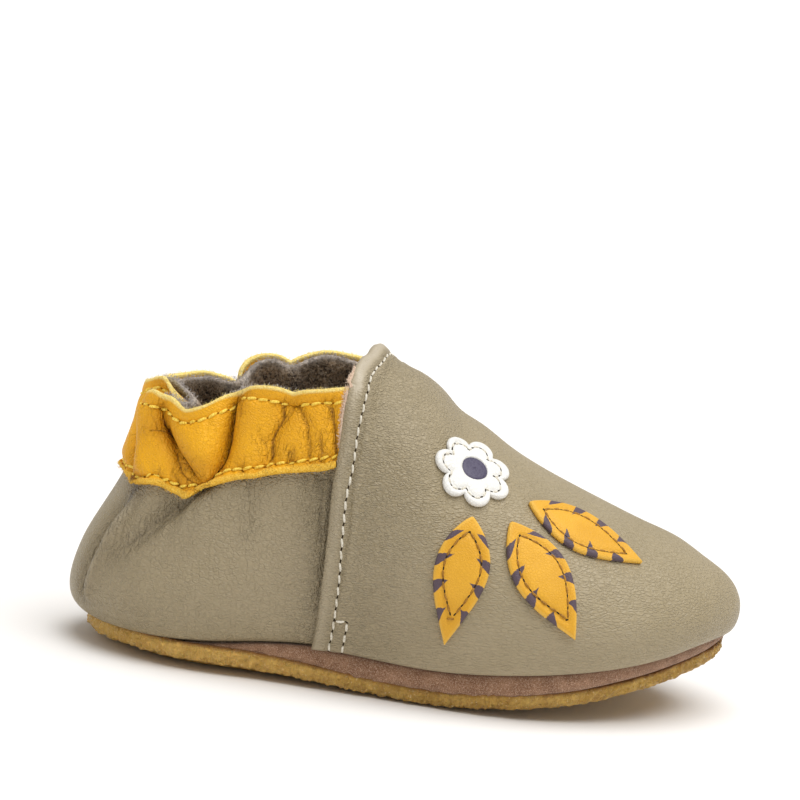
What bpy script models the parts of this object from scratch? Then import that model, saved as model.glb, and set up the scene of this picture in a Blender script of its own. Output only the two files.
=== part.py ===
"""Baby slipper, right shoe: soft leather upper, toe vamp, gathered collar cuff and crepe sole.

+X points to the toe, +Y to the inner side of the foot and +Z up. Tables and sizes are in millimetres.
"""
import math
from collections import namedtuple

import bpy
import numpy as np
from mathutils import Vector
from mathutils.bvhtree import BVHTree

MM = 0.001

# Driving dimensions
SEAM_LENGTH = 124.4        # heel to toe along the sole seam
BALL_WIDTH = 56.0          # across the sole seam at the ball
INSTEP_HEIGHT = 64.0       # top of the throat above the floor
TOE_SWING = 4.0            # bend of the toe towards the inner side
CREPE_THICK = 3.3
TOE_SPRING = 12.0          # lift of the sole at the toe
SPRING_START = 10.0        # where the sole leaves the floor
SPRING_POWER = 1.6
CREPE_INSET = 0.6          # crepe edge inside the sole seam
CREPE_BEVEL = 0.5
SOLE_LEATHER_THICK = 0.9
SOLE_BAND_WALL = 1.5       # wall of the band that the sole leather turns up
INSOLE_THICK = 1.4
INSOLE_INSET = 2.6         # insole edge inside the sole seam
WALL_THICK = 1.2           # wall of the upper
VAMP_THICK = 1.2
HEM_RISE = 0.7             # extra thickness of the vamp's folded hem
HEM_WIDTH = 4.0
CUFF_THICK = 1.0
GAP = 0.3                  # clearance between pieces that touch
PATCH_THICK = 0.8
PATCH_GAP = 0.4
SHARP_ANGLE = math.radians(40.0)

# The last: one meridian per row, from the sole seam over swell and shoulder to the rim, drawn for
# the sizes below with y on the outer side as a half width. cuff_edge is the height of the cuff's
# lower edge, and steps counts the facets to the next row.
TABLE_LENGTH = 124.4
TABLE_BALL_WIDTH = 56.0
TABLE_INSTEP = 64.0
Row = namedtuple("Row", "name seam swell shoulder rim cuff_edge steps")
LAST = (
    Row("heel", (-61, 0, 4.7), (-73.5, 0, 8.5), (-59, 0, 28), (-54.2, 0, 50), 33, 5),
    Row("heel_corner", (-53.5, 14.5, 4.8), (-62, 21.5, 10.5), (-53.5, 14.5, 31), (-50, 10, 50.3), 32.8, 5),
    Row("seat", (-40, 21, 5.6), (-43, 28.5, 13), (-42, 20.5, 35), (-41.5, 15, 53), 34.5, 5),
    Row("waist", (-27, 21.5, 7.4), (-28, 28, 18), (-29, 23, 41), (-29.5, 18, 57.4), 40, 5),
    Row("throat", (-16.9, 22.5, 7.6), (-15.8, 28.2, 22), (-15.5, 25.8, 44), (-16.5, 20, 57.6), 43.5, 5),
    Row("instep", (5, 26, 7.2), (5, 32.5, 20), (-3, 28, 47.5), (-15.6, 15.6, 60.6), 45, 4),
    Row("ball", (24, 28, 8.6), (26.5, 34, 20.5), (8.5, 27, 43), (-14.4, 10.6, 62.4), 45, 4),
    Row("toe_corner", (47.5, 21, 13.3), (54, 26.5, 27.5), (19.5, 18.5, 38.4), (-13.4, 5.8, 63.5), 43, 4),
    Row("toe_side", (58.5, 11.7, 16.3), (66, 14.2, 32), (24, 9, 36.3), (-13, 2.7, 63.9), 41, 3),
    Row("toe", (63.4, 0, 17.2), (71, 0, 33.8), (26, 0, 35.7), (-13, 0, 64), 40, 3),
)
QUARTER_LEVELS = 8         # facets from the sole seam to the cuff's edge
CUFF_LEVELS = 5            # facets from the cuff's edge to the rim
LEVEL_CROWDING = 1.25      # above 1 draws the lower levels towards the seam
HALVINGS = 24              # steps of the search for the cuff's edge on a meridian

# Gathers of the cuff: side is -1 outer, 1 inner; top_x and foot_x place the fold on the rim and on
# the cuff's edge; depth is inward, width is along the rim, drop lowers the rim.
Fold = namedtuple("Fold", "side top_x foot_x depth width drop")
CUFF_FOLDS = (
    Fold(-1, -37.6, -39.6, 2.4, 2.6, 1.2),
    Fold(-1, -44.5, -41.5, -2.2, 3.6, 2.6),
    Fold(-1, -50.8, -43.6, 2.0, 2.8, 0.8),
    Fold(-1, -28.7, -29.5, 0.6, 2.2, 0.0),
    Fold(1, -38.6, -39.5, 2.0, 2.8, 2.0),
    Fold(1, -45.0, -44.0, -1.6, 3.4, 0.0),
    Fold(1, -50.5, -48.0, 1.6, 2.6, 0.6),
    Fold(1, -28.5, -30.0, 0.9, 2.6, 1.2),
)
FOLD_REACH = 0.35          # how far below the cuff's edge a fold dies out, in cuff heights
FOLD_FULL = 0.7            # cuff height from which a fold has its full depth

# Patches on the vamp, laid out on a plane seen from the outer side and above: forward and rise are
# the patch's middle on that plane, heading is measured from the toe direction.
PATCH_VIEW = (0.10, -0.80, 0.59)
PATCH_FAR = 200.0
Leaf = namedtuple("Leaf", "name forward rise heading length width")
LEAVES = (
    Leaf("applique_leaf_upper", 29.0, 19.5, -14.0, 25.0, 11.0),
    Leaf("applique_leaf_middle", 21.5, 7.0, -50.0, 25.0, 11.5),
    Leaf("applique_leaf_lower", 5.5, 4.5, -92.0, 22.0, 10.5),
)
LEAF_TIP = 0.05            # share of the leaf's length cut off at either end
LEAF_FULLNESS = 0.85       # below 1 moves the widest place towards the stem
LEAF_STEPS = 9
LEAF_ACROSS = 4
FLOWER_FORWARD = 5.0
FLOWER_RISE = 25.5
FLOWER_RADIUS = 8.0
FLOWER_EYE_RADIUS = 2.8
FLOWER_PETALS = 7
FLOWER_NOTCH = 0.26        # share of the radius cut in between two petals
PETAL_ROUNDNESS = 0.7      # below 1 makes the petals' tips rounder
FLOWER_STEPS = 42
FLOWER_RINGS = 3

SAGE = (0.30, 0.27, 0.19)
MUSTARD = (0.61, 0.30, 0.01)
SUEDE = (0.21, 0.12, 0.075)
CREPE = (0.38, 0.22, 0.05)
LINING = (0.15, 0.12, 0.09)
WHITE = (0.85, 0.84, 0.80)
NAVY = (0.05, 0.04, 0.09)


def clear_scene():
    for old in list(bpy.data.objects):
        bpy.data.objects.remove(old, do_unlink=True)


def smooth_step(value):
    share = np.clip(value, 0.0, 1.0)
    return share * share * (3.0 - 2.0 * share)


def swing(x):
    """Bend of the last's middle line towards the inner side, growing from the throat to the toe."""
    ahead = np.clip((x - x_of("throat")) / (x_of("toe") - x_of("throat")), 0.0, None)
    return TOE_SWING * ahead ** 2


def x_of(name):
    return next(row.seam[0] for row in LAST if row.name == name)


def spline(stations, values, span=None):
    """Cubic spline through values at stations, closed when span gives the loop's length."""
    stations = np.asarray(stations, float)
    values = np.asarray(values, float)
    closed = span is not None
    if closed:
        stations = np.append(stations, stations[0] + span)
        values = np.vstack([values, values[:1]])
    count = len(stations)
    step = np.diff(stations)
    slope = np.diff(values, axis=0) / step[:, None]
    matrix = np.eye(count)
    bend = np.zeros_like(values)
    for i in range(1, count - 1):
        matrix[i, i - 1:i + 2] = step[i - 1], 2.0 * (step[i - 1] + step[i]), step[i]
        bend[i] = 6.0 * (slope[i] - slope[i - 1])
    if closed:
        matrix[0, -1] = -1.0
        matrix[-1] = 0.0
        matrix[-1, [0, 1]] = 2.0 * step[0], step[0]
        matrix[-1, [-2, -1]] = step[-1], 2.0 * step[-1]
        bend[-1] = 6.0 * (slope[0] - slope[-1])
    curve = np.linalg.solve(matrix, bend)

    def at(where):
        where = np.asarray(where, float)
        i = np.clip(np.searchsorted(stations, where, side="right") - 1, 0, count - 2)
        ahead = ((where - stations[i]) / step[i])[:, None]
        back = 1.0 - ahead
        sag = (back ** 3 - back) * curve[i] + (ahead ** 3 - ahead) * curve[i + 1]
        return back * values[i] + ahead * values[i + 1] + sag * (step[i] ** 2 / 6.0)[:, None]

    return at


def loop_rows():
    """The table's rows once round the shoe: heel, outer side, toe, inner side."""
    outer = [(row, -1.0) for row in LAST]
    inner = [(row, 1.0) for row in LAST[-2:0:-1]]
    return outer + inner


def scaled(point, side):
    x, y, z = point
    grown = (
        x * SEAM_LENGTH / TABLE_LENGTH,
        side * y * BALL_WIDTH / TABLE_BALL_WIDTH,
        z * INSTEP_HEIGHT / TABLE_INSTEP,
    )
    return grown


def column_stations(stations, span):
    """Where the facet columns stand along the seam."""
    ends = np.append(stations[1:], span)
    steps = [row.steps for row in LAST[:-1]]
    steps = steps + steps[::-1]
    parts = [np.linspace(a, b, n, endpoint=False) for a, b, n in zip(stations, ends, steps)]
    return np.concatenate(parts)


class LastForm:
    """The upper's outer surface as a grid of columns round the shoe and levels up from the seam."""

    def __init__(self):
        rows = loop_rows()
        lines = {part: np.array([scaled(getattr(row, part), side) for row, side in rows])
                 for part in ("seam", "swell", "shoulder", "rim")}
        seam = lines["seam"]
        chords = np.linalg.norm(np.roll(seam, -1, axis=0) - seam, axis=1)
        span = chords.sum()
        stations = np.concatenate([[0.0], np.cumsum(chords)[:-1]])
        columns = column_stations(stations, span)
        names = [row.name for row, side in rows]
        outer_throat = names.index("throat")
        inner_throat = len(rows) - outer_throat
        self.columns = len(columns)
        self.outer_throat = int(np.argmin(abs(columns - stations[outer_throat])))
        self.inner_throat = int(np.argmin(abs(columns - stations[inner_throat])))
        control = [spline(stations, lines[part], span)(columns) for part in ("seam", "swell", "shoulder")]
        control.append(self.rim_line(lines["rim"], stations, columns, span, outer_throat, inner_throat))
        edge_heights = np.array([[row.cuff_edge * INSTEP_HEIGHT / TABLE_INSTEP] for row, side in rows])
        edge = spline(stations, edge_heights, span)(columns)[:, 0]
        self.control = control
        self.levels = self.level_shares(edge)
        self.points = self.meridians(self.levels)
        self.points += self.gathers()
        self.points[:, :, 1] += swing(self.points[:, :, 0])
        self.normals = grid_normals(self.points)

    def rim_line(self, rim, stations, columns, span, outer_throat, inner_throat):
        """Collar rim behind the throat and throat arch in front: two curves that meet at a corner."""
        ahead = slice(outer_throat, inner_throat + 1)
        arch = spline(stations[ahead], rim[ahead])
        behind = np.r_[np.arange(inner_throat, len(rim)), np.arange(0, outer_throat + 1)]
        behind_stations = np.where(behind >= inner_throat, stations[behind] - span, stations[behind])
        collar = spline(behind_stations, rim[behind])
        in_front = (columns >= stations[outer_throat]) & (columns <= stations[inner_throat])
        wrapped = np.where(columns > stations[inner_throat], columns - span, columns)
        return np.where(in_front[:, None], arch(columns), collar(wrapped))

    def bezier(self, share):
        a, b, c, d = self.control
        t = np.asarray(share)[:, None]
        back = 1.0 - t
        return back ** 3 * a + 3 * back ** 2 * t * b + 3 * back * t ** 2 * c + t ** 3 * d

    def level_shares(self, edge):
        """Curve shares of each column's levels, with one level on the cuff's edge."""
        low = np.zeros(self.columns)
        high = np.ones(self.columns)
        for halving in range(HALVINGS):
            middle = (low + high) / 2.0
            below = self.bezier(middle)[:, 2] < edge
            low = np.where(below, middle, low)
            high = np.where(below, high, middle)
        climb = (np.arange(QUARTER_LEVELS) / QUARTER_LEVELS) ** LEVEL_CROWDING
        quarter = [low * share for share in climb]
        cuff = [low + (1.0 - low) * level / CUFF_LEVELS for level in range(CUFF_LEVELS + 1)]
        return np.array(quarter + cuff)

    def meridians(self, levels):
        return np.stack([self.bezier(level) for level in levels], axis=1)

    def rim_places(self):
        """Length along the collar rim at each column, measured from the back of the heel."""
        rim = self.points[:, -1]
        chords = np.linalg.norm(np.diff(rim, axis=0), axis=1)
        forward = np.concatenate([[0.0], np.cumsum(chords)])
        closing = np.linalg.norm(rim[0] - rim[-1])
        whole = forward[-1] + closing
        return np.where(np.arange(self.columns) <= self.columns // 2, forward, forward - whole)

    def gathers(self):
        """Shift of each grid point by the cuff's folds."""
        normals = grid_normals(self.points)
        places = self.rim_places()
        level = np.arange(self.points.shape[1])
        height = (level - QUARTER_LEVELS) / CUFF_LEVELS
        growth = smooth_step((height + FOLD_REACH) / (FOLD_FULL + FOLD_REACH))
        shift = np.zeros_like(self.points)
        behind = np.ones(self.columns)
        behind[self.outer_throat:self.inner_throat + 1] = 0.0
        for fold in CUFF_FOLDS:
            top = self.place_at(places, fold.side, fold.top_x)
            foot = self.place_at(places, fold.side, fold.foot_x)
            line = foot + (top - foot) * height
            away = (places[:, None] - line[None, :]) / fold.width
            trough = np.exp(-away ** 2) * growth[None, :] * behind[:, None]
            shift -= fold.depth * trough[:, :, None] * normals
            sink = trough * np.clip(height, 0.0, 1.0)[None, :] * fold.drop
            shift[:, :, 2] -= sink
        return shift

    def place_at(self, places, side, x):
        """Rim length where the collar on one side passes x."""
        if side < 0:
            columns = np.arange(0, self.outer_throat + 1)
        else:
            columns = np.r_[0, np.arange(self.columns - 1, self.inner_throat - 1, -1)]
        return np.interp(x, self.points[columns, -1, 0], places[columns])


def grid_normals(points):
    """Outward normals of a grid closed round its columns, averaged from its facets."""
    following = np.roll(points, -1, axis=0)
    across = following[:, 1:] - points[:, :-1]
    along = points[:, 1:] - following[:, :-1]
    facets = np.cross(across, along)
    total = np.zeros_like(points)
    for columns in (facets, np.roll(facets, 1, axis=0)):
        total[:, :-1] += columns
        total[:, 1:] += columns
    return total / np.linalg.norm(total, axis=2, keepdims=True)


def material(name, colour, roughness):
    made = bpy.data.materials.new(name)
    made.use_nodes = True
    shader = made.node_tree.nodes["Principled BSDF"]
    shader.inputs["Base Color"].default_value = (*colour, 1.0)
    shader.inputs["Roughness"].default_value = roughness
    shader.inputs["Metallic"].default_value = 0.0
    return made


def add_object(name, points, triangles, finish, parent):
    mesh = bpy.data.meshes.new(name)
    mesh.from_pydata([tuple(point) for point in np.asarray(points) * MM], [], triangles)
    mesh.validate()
    mesh.materials.append(finish)
    mesh.shade_smooth()
    mesh.set_sharp_from_angle(angle=SHARP_ANGLE)
    made = bpy.data.objects.new(name, mesh)
    bpy.context.collection.objects.link(made)
    made.parent = parent
    return made


def sheet_solid(outer, inner, closed):
    """Closed sheet between two grids of columns and levels that lie over each other."""
    columns, levels = outer.shape[:2]
    lift = columns * levels
    points = np.concatenate([outer.reshape(-1, 3), inner.reshape(-1, 3)])
    triangles = []

    def quad(a, b, c, d):
        triangles.extend([(a, b, c), (a, c, d)])

    last = columns if closed else columns - 1
    for k in range(last):
        ahead = (k + 1) % columns
        for j in range(levels - 1):
            a, b = k * levels + j, ahead * levels + j
            quad(a, b, b + 1, a + 1)
            triangles.extend([(a + lift, b + 1 + lift, b + lift), (a + lift, a + 1 + lift, b + 1 + lift)])
        low, low_ahead = k * levels, ahead * levels
        quad(low_ahead, low, low + lift, low_ahead + lift)
        top, top_ahead = low + levels - 1, low_ahead + levels - 1
        quad(top, top_ahead, top_ahead + lift, top + lift)
    if not closed:
        end = (columns - 1) * levels
        for j in range(levels - 1):
            quad(j, j + 1, j + 1 + lift, j + lift)
            quad(end + j + 1, end + j, end + j + lift, end + j + 1 + lift)
    return points, triangles


def ring_solid(rings):
    """Closed solid through rings from its lower to its upper face, capped by cross strips."""
    count = len(rings[0])
    points = np.concatenate(rings)
    triangles = []
    for level in range(len(rings) - 1):
        for k in range(count):
            ahead = (k + 1) % count
            a, b = level * count + k, level * count + ahead
            triangles.extend([(a, b, b + count), (a, b + count, a + count)])
    for first, flip in ((0, True), ((len(rings) - 1) * count, False)):
        for k in range(count // 2):
            far = (count - k) % count
            corners = [first + k, first + k + 1, first + count - k - 1, first + far]
            strip = [(corners[0], corners[1], corners[2]), (corners[0], corners[2], corners[3])]
            for triangle in strip:
                if len(set(triangle)) == 3:
                    triangles.append(triangle[::-1] if flip else triangle)
    return points, triangles


def outward(points, normals, distance):
    return points + normals * np.asarray(distance)[..., None]


def floor_line(x):
    """Height of the sole's underside: flat to the ball, then the toe spring."""
    ahead = np.clip((x - SPRING_START) / (x_of("toe") - SPRING_START), 0.0, None)
    return TOE_SPRING * ahead ** SPRING_POWER


def inset_outline(form, inset):
    """Seam outline in plan, moved inwards."""
    plan = form.points[:, 0, :2]
    tangent = np.roll(plan, -1, axis=0) - np.roll(plan, 1, axis=0)
    tangent /= np.linalg.norm(tangent, axis=1, keepdims=True)
    inward = np.stack([-tangent[:, 1], tangent[:, 0]], axis=1)
    return plan + inward * inset


def raised(plan, height):
    return np.column_stack([plan, height])


def make_outsole(form):
    edge = inset_outline(form, CREPE_INSET)
    foot = inset_outline(form, CREPE_INSET + CREPE_BEVEL)
    ground = floor_line(edge[:, 0])
    rings = [
        raised(foot, floor_line(foot[:, 0])),
        raised(edge, ground + CREPE_BEVEL),
        raised(edge, ground + CREPE_THICK),
    ]
    return ring_solid(rings)


def make_midsole(form):
    """Sole leather: a thin plate whose rim turns up to the sole seam."""
    edge = inset_outline(form, 0.0)
    inside = inset_outline(form, SOLE_BAND_WALL)
    base = floor_line(edge[:, 0]) + CREPE_THICK + GAP
    floor = floor_line(inside[:, 0]) + CREPE_THICK + GAP + SOLE_LEATHER_THICK
    seam = form.points[:, 0, 2] - GAP
    lip = np.maximum(seam, floor)
    rings = [
        raised(edge, base),
        raised(edge, seam),
        raised(inside, lip),
        raised(inset_outline(form, SOLE_BAND_WALL + GAP), floor),
    ]
    return ring_solid(rings)


def make_insole(form):
    edge = inset_outline(form, INSOLE_INSET)
    base = floor_line(edge[:, 0]) + CREPE_THICK + SOLE_LEATHER_THICK + 2.0 * GAP
    return ring_solid([raised(edge, base), raised(edge, base + INSOLE_THICK)])


def make_upper(form):
    inner = outward(form.points, form.normals, -WALL_THICK * np.ones(form.points.shape[:2]))
    return sheet_solid(form.points, inner, closed=True)


def throat_edge(form):
    """Points of the vamp's rear edge: up one side, over the arch and down the other."""
    up = form.points[form.outer_throat]
    over = form.points[form.outer_throat:form.inner_throat + 1, -1]
    down = form.points[form.inner_throat]
    return np.concatenate([up, over, down])


def vamp_grid(form):
    columns = slice(form.outer_throat, form.inner_throat + 1)
    points = form.points[columns]
    normals = form.normals[columns]
    edge = throat_edge(form)
    away = np.linalg.norm(points[:, :, None] - edge[None, None], axis=3).min(axis=2)
    hem = HEM_RISE * smooth_step(1.0 - away / HEM_WIDTH)
    return points, normals, GAP + VAMP_THICK + hem


def make_vamp(form):
    points, normals, rise = vamp_grid(form)
    outer = outward(points, normals, rise)
    inner = outward(points, normals, GAP * np.ones(points.shape[:2]))
    return sheet_solid(outer, inner, closed=False)


def make_cuff(form):
    """Gathered strip over the collar from one end of the vamp's edge to the other."""
    order = np.r_[np.arange(form.inner_throat, form.columns), np.arange(0, form.outer_throat + 1)]
    points = form.points[order, QUARTER_LEVELS:].copy()
    normals = form.normals[order, QUARTER_LEVELS:].copy()
    for end, beside in ((0, 1), (-1, -2)):
        step = points[beside] - points[end]
        length = np.linalg.norm(step, axis=1, keepdims=True)
        points[end] += step * GAP / length
        normals[end] = normals[beside]
    lower = outward(points, normals, GAP * np.ones(points.shape[:2]))
    upper = outward(points, normals, (GAP + CUFF_THICK) * np.ones(points.shape[:2]))
    return sheet_solid(upper, lower, closed=False)


class VampSurface:
    """The vamp's outer side, for laying patches on it."""

    def __init__(self, form):
        points, normals, rise = vamp_grid(form)
        outer = outward(points, normals, rise)
        solid_points, triangles = sheet_solid(outer, outward(points, normals, 0.0 * rise), closed=False)
        self.tree = BVHTree.FromPolygons([Vector(point) for point in solid_points], triangles)
        self.view = Vector(PATCH_VIEW).normalized()
        self.ahead = (Vector((1.0, 0.0, 0.0)) - self.view * self.view.x).normalized()
        self.up = self.view.cross(self.ahead)

    def lay(self, forward, rise):
        """Grid points on the vamp and their outward normals."""
        spots = np.zeros(forward.shape + (3,))
        normals = np.zeros_like(spots)
        for index in np.ndindex(forward.shape):
            start = self.ahead * forward[index] + self.up * rise[index] + self.view * PATCH_FAR
            spot, normal, face, distance = self.tree.ray_cast(start, -self.view)
            spots[index] = spot
            normals[index] = normal
        return spots, normals


def patch_solid(surface, forward, rise, closed):
    spots, normals = surface.lay(forward, rise)
    lower = outward(spots, normals, PATCH_GAP * np.ones(forward.shape))
    upper = outward(spots, normals, (PATCH_GAP + PATCH_THICK) * np.ones(forward.shape))
    return sheet_solid(upper, lower, closed)


def make_leaf(surface, leaf):
    share = np.linspace(LEAF_TIP, 1.0 - LEAF_TIP, LEAF_STEPS + 1)
    half_width = leaf.width / 2.0 * np.sin(math.pi * share ** LEAF_FULLNESS)
    across = np.linspace(-1.0, 1.0, LEAF_ACROSS + 1)
    along = (share - 0.5)[:, None] * leaf.length * np.ones_like(across)[None, :]
    aside = half_width[:, None] * across[None, :]
    turn = math.radians(leaf.heading)
    forward = leaf.forward + along * math.cos(turn) - aside * math.sin(turn)
    rise = leaf.rise + along * math.sin(turn) + aside * math.cos(turn)
    return patch_solid(surface, forward, rise, closed=False)


def disc_grid(inner_radius, outer_radius):
    """Rings of a round patch; outer_radius may change round the rim."""
    turn = np.linspace(0.0, 2.0 * math.pi, FLOWER_STEPS, endpoint=False)
    share = np.linspace(1.0, 0.0, FLOWER_RINGS + 1)
    radius = inner_radius + (outer_radius(turn)[:, None] - inner_radius) * share[None, :]
    forward = FLOWER_FORWARD + radius * np.cos(turn)[:, None]
    rise = FLOWER_RISE + radius * np.sin(turn)[:, None]
    return forward, rise


def petal_radius(turn):
    wave = np.abs(np.sin(FLOWER_PETALS * turn / 2.0)) ** PETAL_ROUNDNESS
    return FLOWER_RADIUS * (1.0 - FLOWER_NOTCH * (1.0 - wave))


def make_flower(surface):
    forward, rise = disc_grid(FLOWER_EYE_RADIUS + GAP, petal_radius)
    return patch_solid(surface, forward, rise, closed=True)


def make_flower_eye(surface):
    """Small disc in the flower's middle, laid as strips across."""
    turn = np.linspace(LEAF_TIP, 1.0 - LEAF_TIP, LEAF_STEPS) * math.pi
    half_width = FLOWER_EYE_RADIUS * np.sin(turn)
    across = np.linspace(-1.0, 1.0, LEAF_ACROSS + 1)
    forward = FLOWER_FORWARD - FLOWER_EYE_RADIUS * np.cos(turn)[:, None] * np.ones_like(across)[None, :]
    rise = FLOWER_RISE + half_width[:, None] * across[None, :]
    return patch_solid(surface, forward, rise, closed=False)


def centre_on_floor(parent, made):
    """Move the parent so that the shoe stands on the origin."""
    corners = np.array([obj.matrix_world @ vertex.co for obj in made for vertex in obj.data.vertices])
    low, high = corners.min(axis=0), corners.max(axis=0)
    parent.location = (-(low[0] + high[0]) / 2.0, -(low[1] + high[1]) / 2.0, -low[2])


def main():
    clear_scene()
    form = LastForm()
    surface = VampSurface(form)
    parent = bpy.data.objects.new("slipper", None)
    bpy.context.collection.objects.link(parent)
    sage = material("sage_leather", SAGE, 0.55)
    mustard = material("mustard_leather", MUSTARD, 0.5)
    solids = {
        "outsole": (make_outsole(form), material("crepe_rubber", CREPE, 0.6)),
        "midsole": (make_midsole(form), material("sole_suede", SUEDE, 0.9)),
        "insole": (make_insole(form), material("insole_suede", LINING, 0.9)),
        "upper": (make_upper(form), sage),
        "vamp": (make_vamp(form), sage),
        "cuff": (make_cuff(form), mustard),
        "applique_flower": (make_flower(surface), material("white_leather", WHITE, 0.5)),
        "applique_flower_eye": (make_flower_eye(surface), material("navy_leather", NAVY, 0.5)),
    }
    for leaf in LEAVES:
        solids[leaf.name] = (make_leaf(surface, leaf), mustard)
    made = [add_object(name, *shape, finish, parent) for name, (shape, finish) in solids.items()]
    centre_on_floor(parent, made)


main()
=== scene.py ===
"""Baby slipper, right shoe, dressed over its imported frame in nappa, suede, thread and crepe.

Tables and sizes are in millimetres in the shoe's own frame: +X to the toe, +Y to the inner side of the
foot and +Z up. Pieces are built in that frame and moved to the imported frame's origin as they are added.
"""
import math
from collections import namedtuple

import bmesh
import bpy
import numpy as np
from mathutils import Matrix, Vector, noise
from mathutils.bvhtree import BVHTree


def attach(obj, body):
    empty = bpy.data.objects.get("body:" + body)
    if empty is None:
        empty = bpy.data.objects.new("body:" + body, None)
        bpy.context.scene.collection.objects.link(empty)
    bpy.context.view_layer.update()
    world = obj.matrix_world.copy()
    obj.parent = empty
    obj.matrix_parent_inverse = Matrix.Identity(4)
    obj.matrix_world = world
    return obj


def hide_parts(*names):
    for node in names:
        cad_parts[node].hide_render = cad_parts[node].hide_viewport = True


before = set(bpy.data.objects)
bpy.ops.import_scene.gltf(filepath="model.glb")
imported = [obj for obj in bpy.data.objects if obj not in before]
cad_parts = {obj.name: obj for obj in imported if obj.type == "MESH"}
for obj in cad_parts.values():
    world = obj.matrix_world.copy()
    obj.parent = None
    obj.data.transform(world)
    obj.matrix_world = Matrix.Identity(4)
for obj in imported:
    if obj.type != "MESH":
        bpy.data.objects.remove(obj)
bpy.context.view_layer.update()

MM = 0.001

# The last: one meridian per row, from the sole seam over swell and shoulder to the rim; y is the half
# width and cuff_edge the height of the cuff's lower edge.
Row = namedtuple("Row", "name seam swell shoulder rim cuff_edge")
LAST = (
    Row("heel", (-61, 0, 4.7), (-74, 0, 7.3), (-59, 0, 28), (-54.2, 0, 50), 33),
    Row("heel_corner", (-53.5, 14.5, 4.8), (-62.2, 21.7, 9.6), (-53.5, 14.5, 31), (-50, 10, 50.3), 32.8),
    Row("seat", (-40, 21, 5.6), (-43, 28.5, 13), (-42, 20.5, 35), (-41.5, 15, 53), 34.5),
    Row("waist", (-27, 21.5, 7.4), (-28, 28, 18), (-29, 23, 41), (-29.5, 18, 57.4), 40),
    Row("throat", (-16.9, 22.5, 8.4), (-15.8, 28.2, 22), (-15.5, 25.8, 44), (-16.5, 20, 57.6), 43.5),
    Row("instep", (5, 26, 8.0), (5, 32.5, 20), (-3, 28, 47.5), (-15.6, 15.6, 60.6), 45),
    Row("ball", (24, 28, 9.6), (26.5, 34, 20.5), (8.5, 27, 43), (-14.4, 10.6, 62.4), 45),
    Row("toe_corner", (47.5, 21, 13.3), (54, 26.5, 27.5), (19.5, 18.5, 38.4), (-13.4, 5.8, 63.5), 43),
    Row("toe_side", (58.5, 11.7, 16.3), (66, 14.2, 32), (24, 9, 36.3), (-13, 2.7, 63.9), 41),
    Row("toe", (63.4, 0, 17.2), (71, 0, 33.8), (26, 0, 35.7), (-13, 0, 64), 40),
)
THROAT_X = -16.9
TOE_X = 63.4
TOE_SWING = 4.0
HALVINGS = 24
RIM_STEPS = 600

# Gathers of the cuff, as in the solid: side is -1 outer, 1 inner; drop lowers the rim.
Fold = namedtuple("Fold", "side top_x foot_x depth width drop")
CUFF_FOLDS = (
    Fold(-1, -37.6, -39.6, 2.4, 2.6, 1.2),
    Fold(-1, -44.5, -41.5, -2.2, 3.6, 2.6),
    Fold(-1, -50.8, -43.6, 2.0, 2.8, 0.8),
    Fold(-1, -28.7, -29.5, 0.6, 2.2, 0.0),
    Fold(1, -38.6, -39.5, 2.0, 2.8, 2.0),
    Fold(1, -45.0, -44.0, -1.6, 3.4, 0.0),
    Fold(1, -50.5, -48.0, 1.6, 2.6, 0.6),
    Fold(1, -28.5, -30.0, 0.9, 2.6, 1.2),
)
FOLD_REACH = 0.35
FOLD_FULL = 0.7
FOLD_TAIL = 1.6            # how fast a fold's height counts down below the cuff's edge
FOLD_TAIL_POWER = 0.8

# Leather and sole thicknesses
CREPE_THICK = 3.3
TOE_SPRING = 12.0
SPRING_START = 10.0
SPRING_POWER = 1.6
SOLE_LEATHER_THICK = 0.9
SOLE_BAND_WALL = 1.5
INSOLE_INSET = 2.6
SOCK_RIM_OUT = 0.7         # how far the sock's rim stands outside its flat part
WALL_THICK = 1.2
VAMP_THICK = 1.2
HEM_RISE = 0.5
CUFF_THICK = 1.0
GAP = 0.3
PATCH_THICK = 0.8
PATCH_GAP = 0.4
PATCH_SINK = 0.2           # how far a patch's hidden side lies in the vamp
PATCH_ROLL = 0.75
PATCH_GROOVE = 0.30
PATCH_GROOVE_WIDTH = 0.45

WELD_DISTANCE = 2e-7       # metres
TABLE_ORIGIN = np.array([0.175, -0.2235, 0.0]) * MM    # the table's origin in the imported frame

# Grid of the dressed surface: columns get coarser from the throat to the toe
REAR_COLUMNS = 150
WALL_FRONT_COLUMNS = 40
FINE_STEP = 0.22
COARSE_STEP = 1.2
FINE_HOLD = 5.0
FINE_EASE = 7.0
QUARTER_LEVELS = 48
LIP_LEVELS = 14
CUFF_LEVELS = 26
RIM_LEVELS = 17
LIP_TOP = 0.16             # heights between which the cuff's levels are coarse
RIM_FOOT = 0.86
SOLE_POINTS = 640

# Upper's wall
SEAM_TUCK = 0.5            # how far the wall turns in at the sole seam
SEAM_TUCK_REACH = 1.6
WALL_FOOT_ROUND = 0.8
WALL_RIM_ROUND = 0.6
LEAST_ROUND = 0.25         # share of a sheet's thickness that is left at an edge
ARCH_LETS_GO = 14.0        # girth from the throat over which the wall sinks below the arch
RIM_LIT_DEPTH = 1.7          # depth of the painted light on the lining's rim inside the collar
PULL_REACH = 10.0          # girth behind the hem where the quarter's leather is pulled

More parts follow.
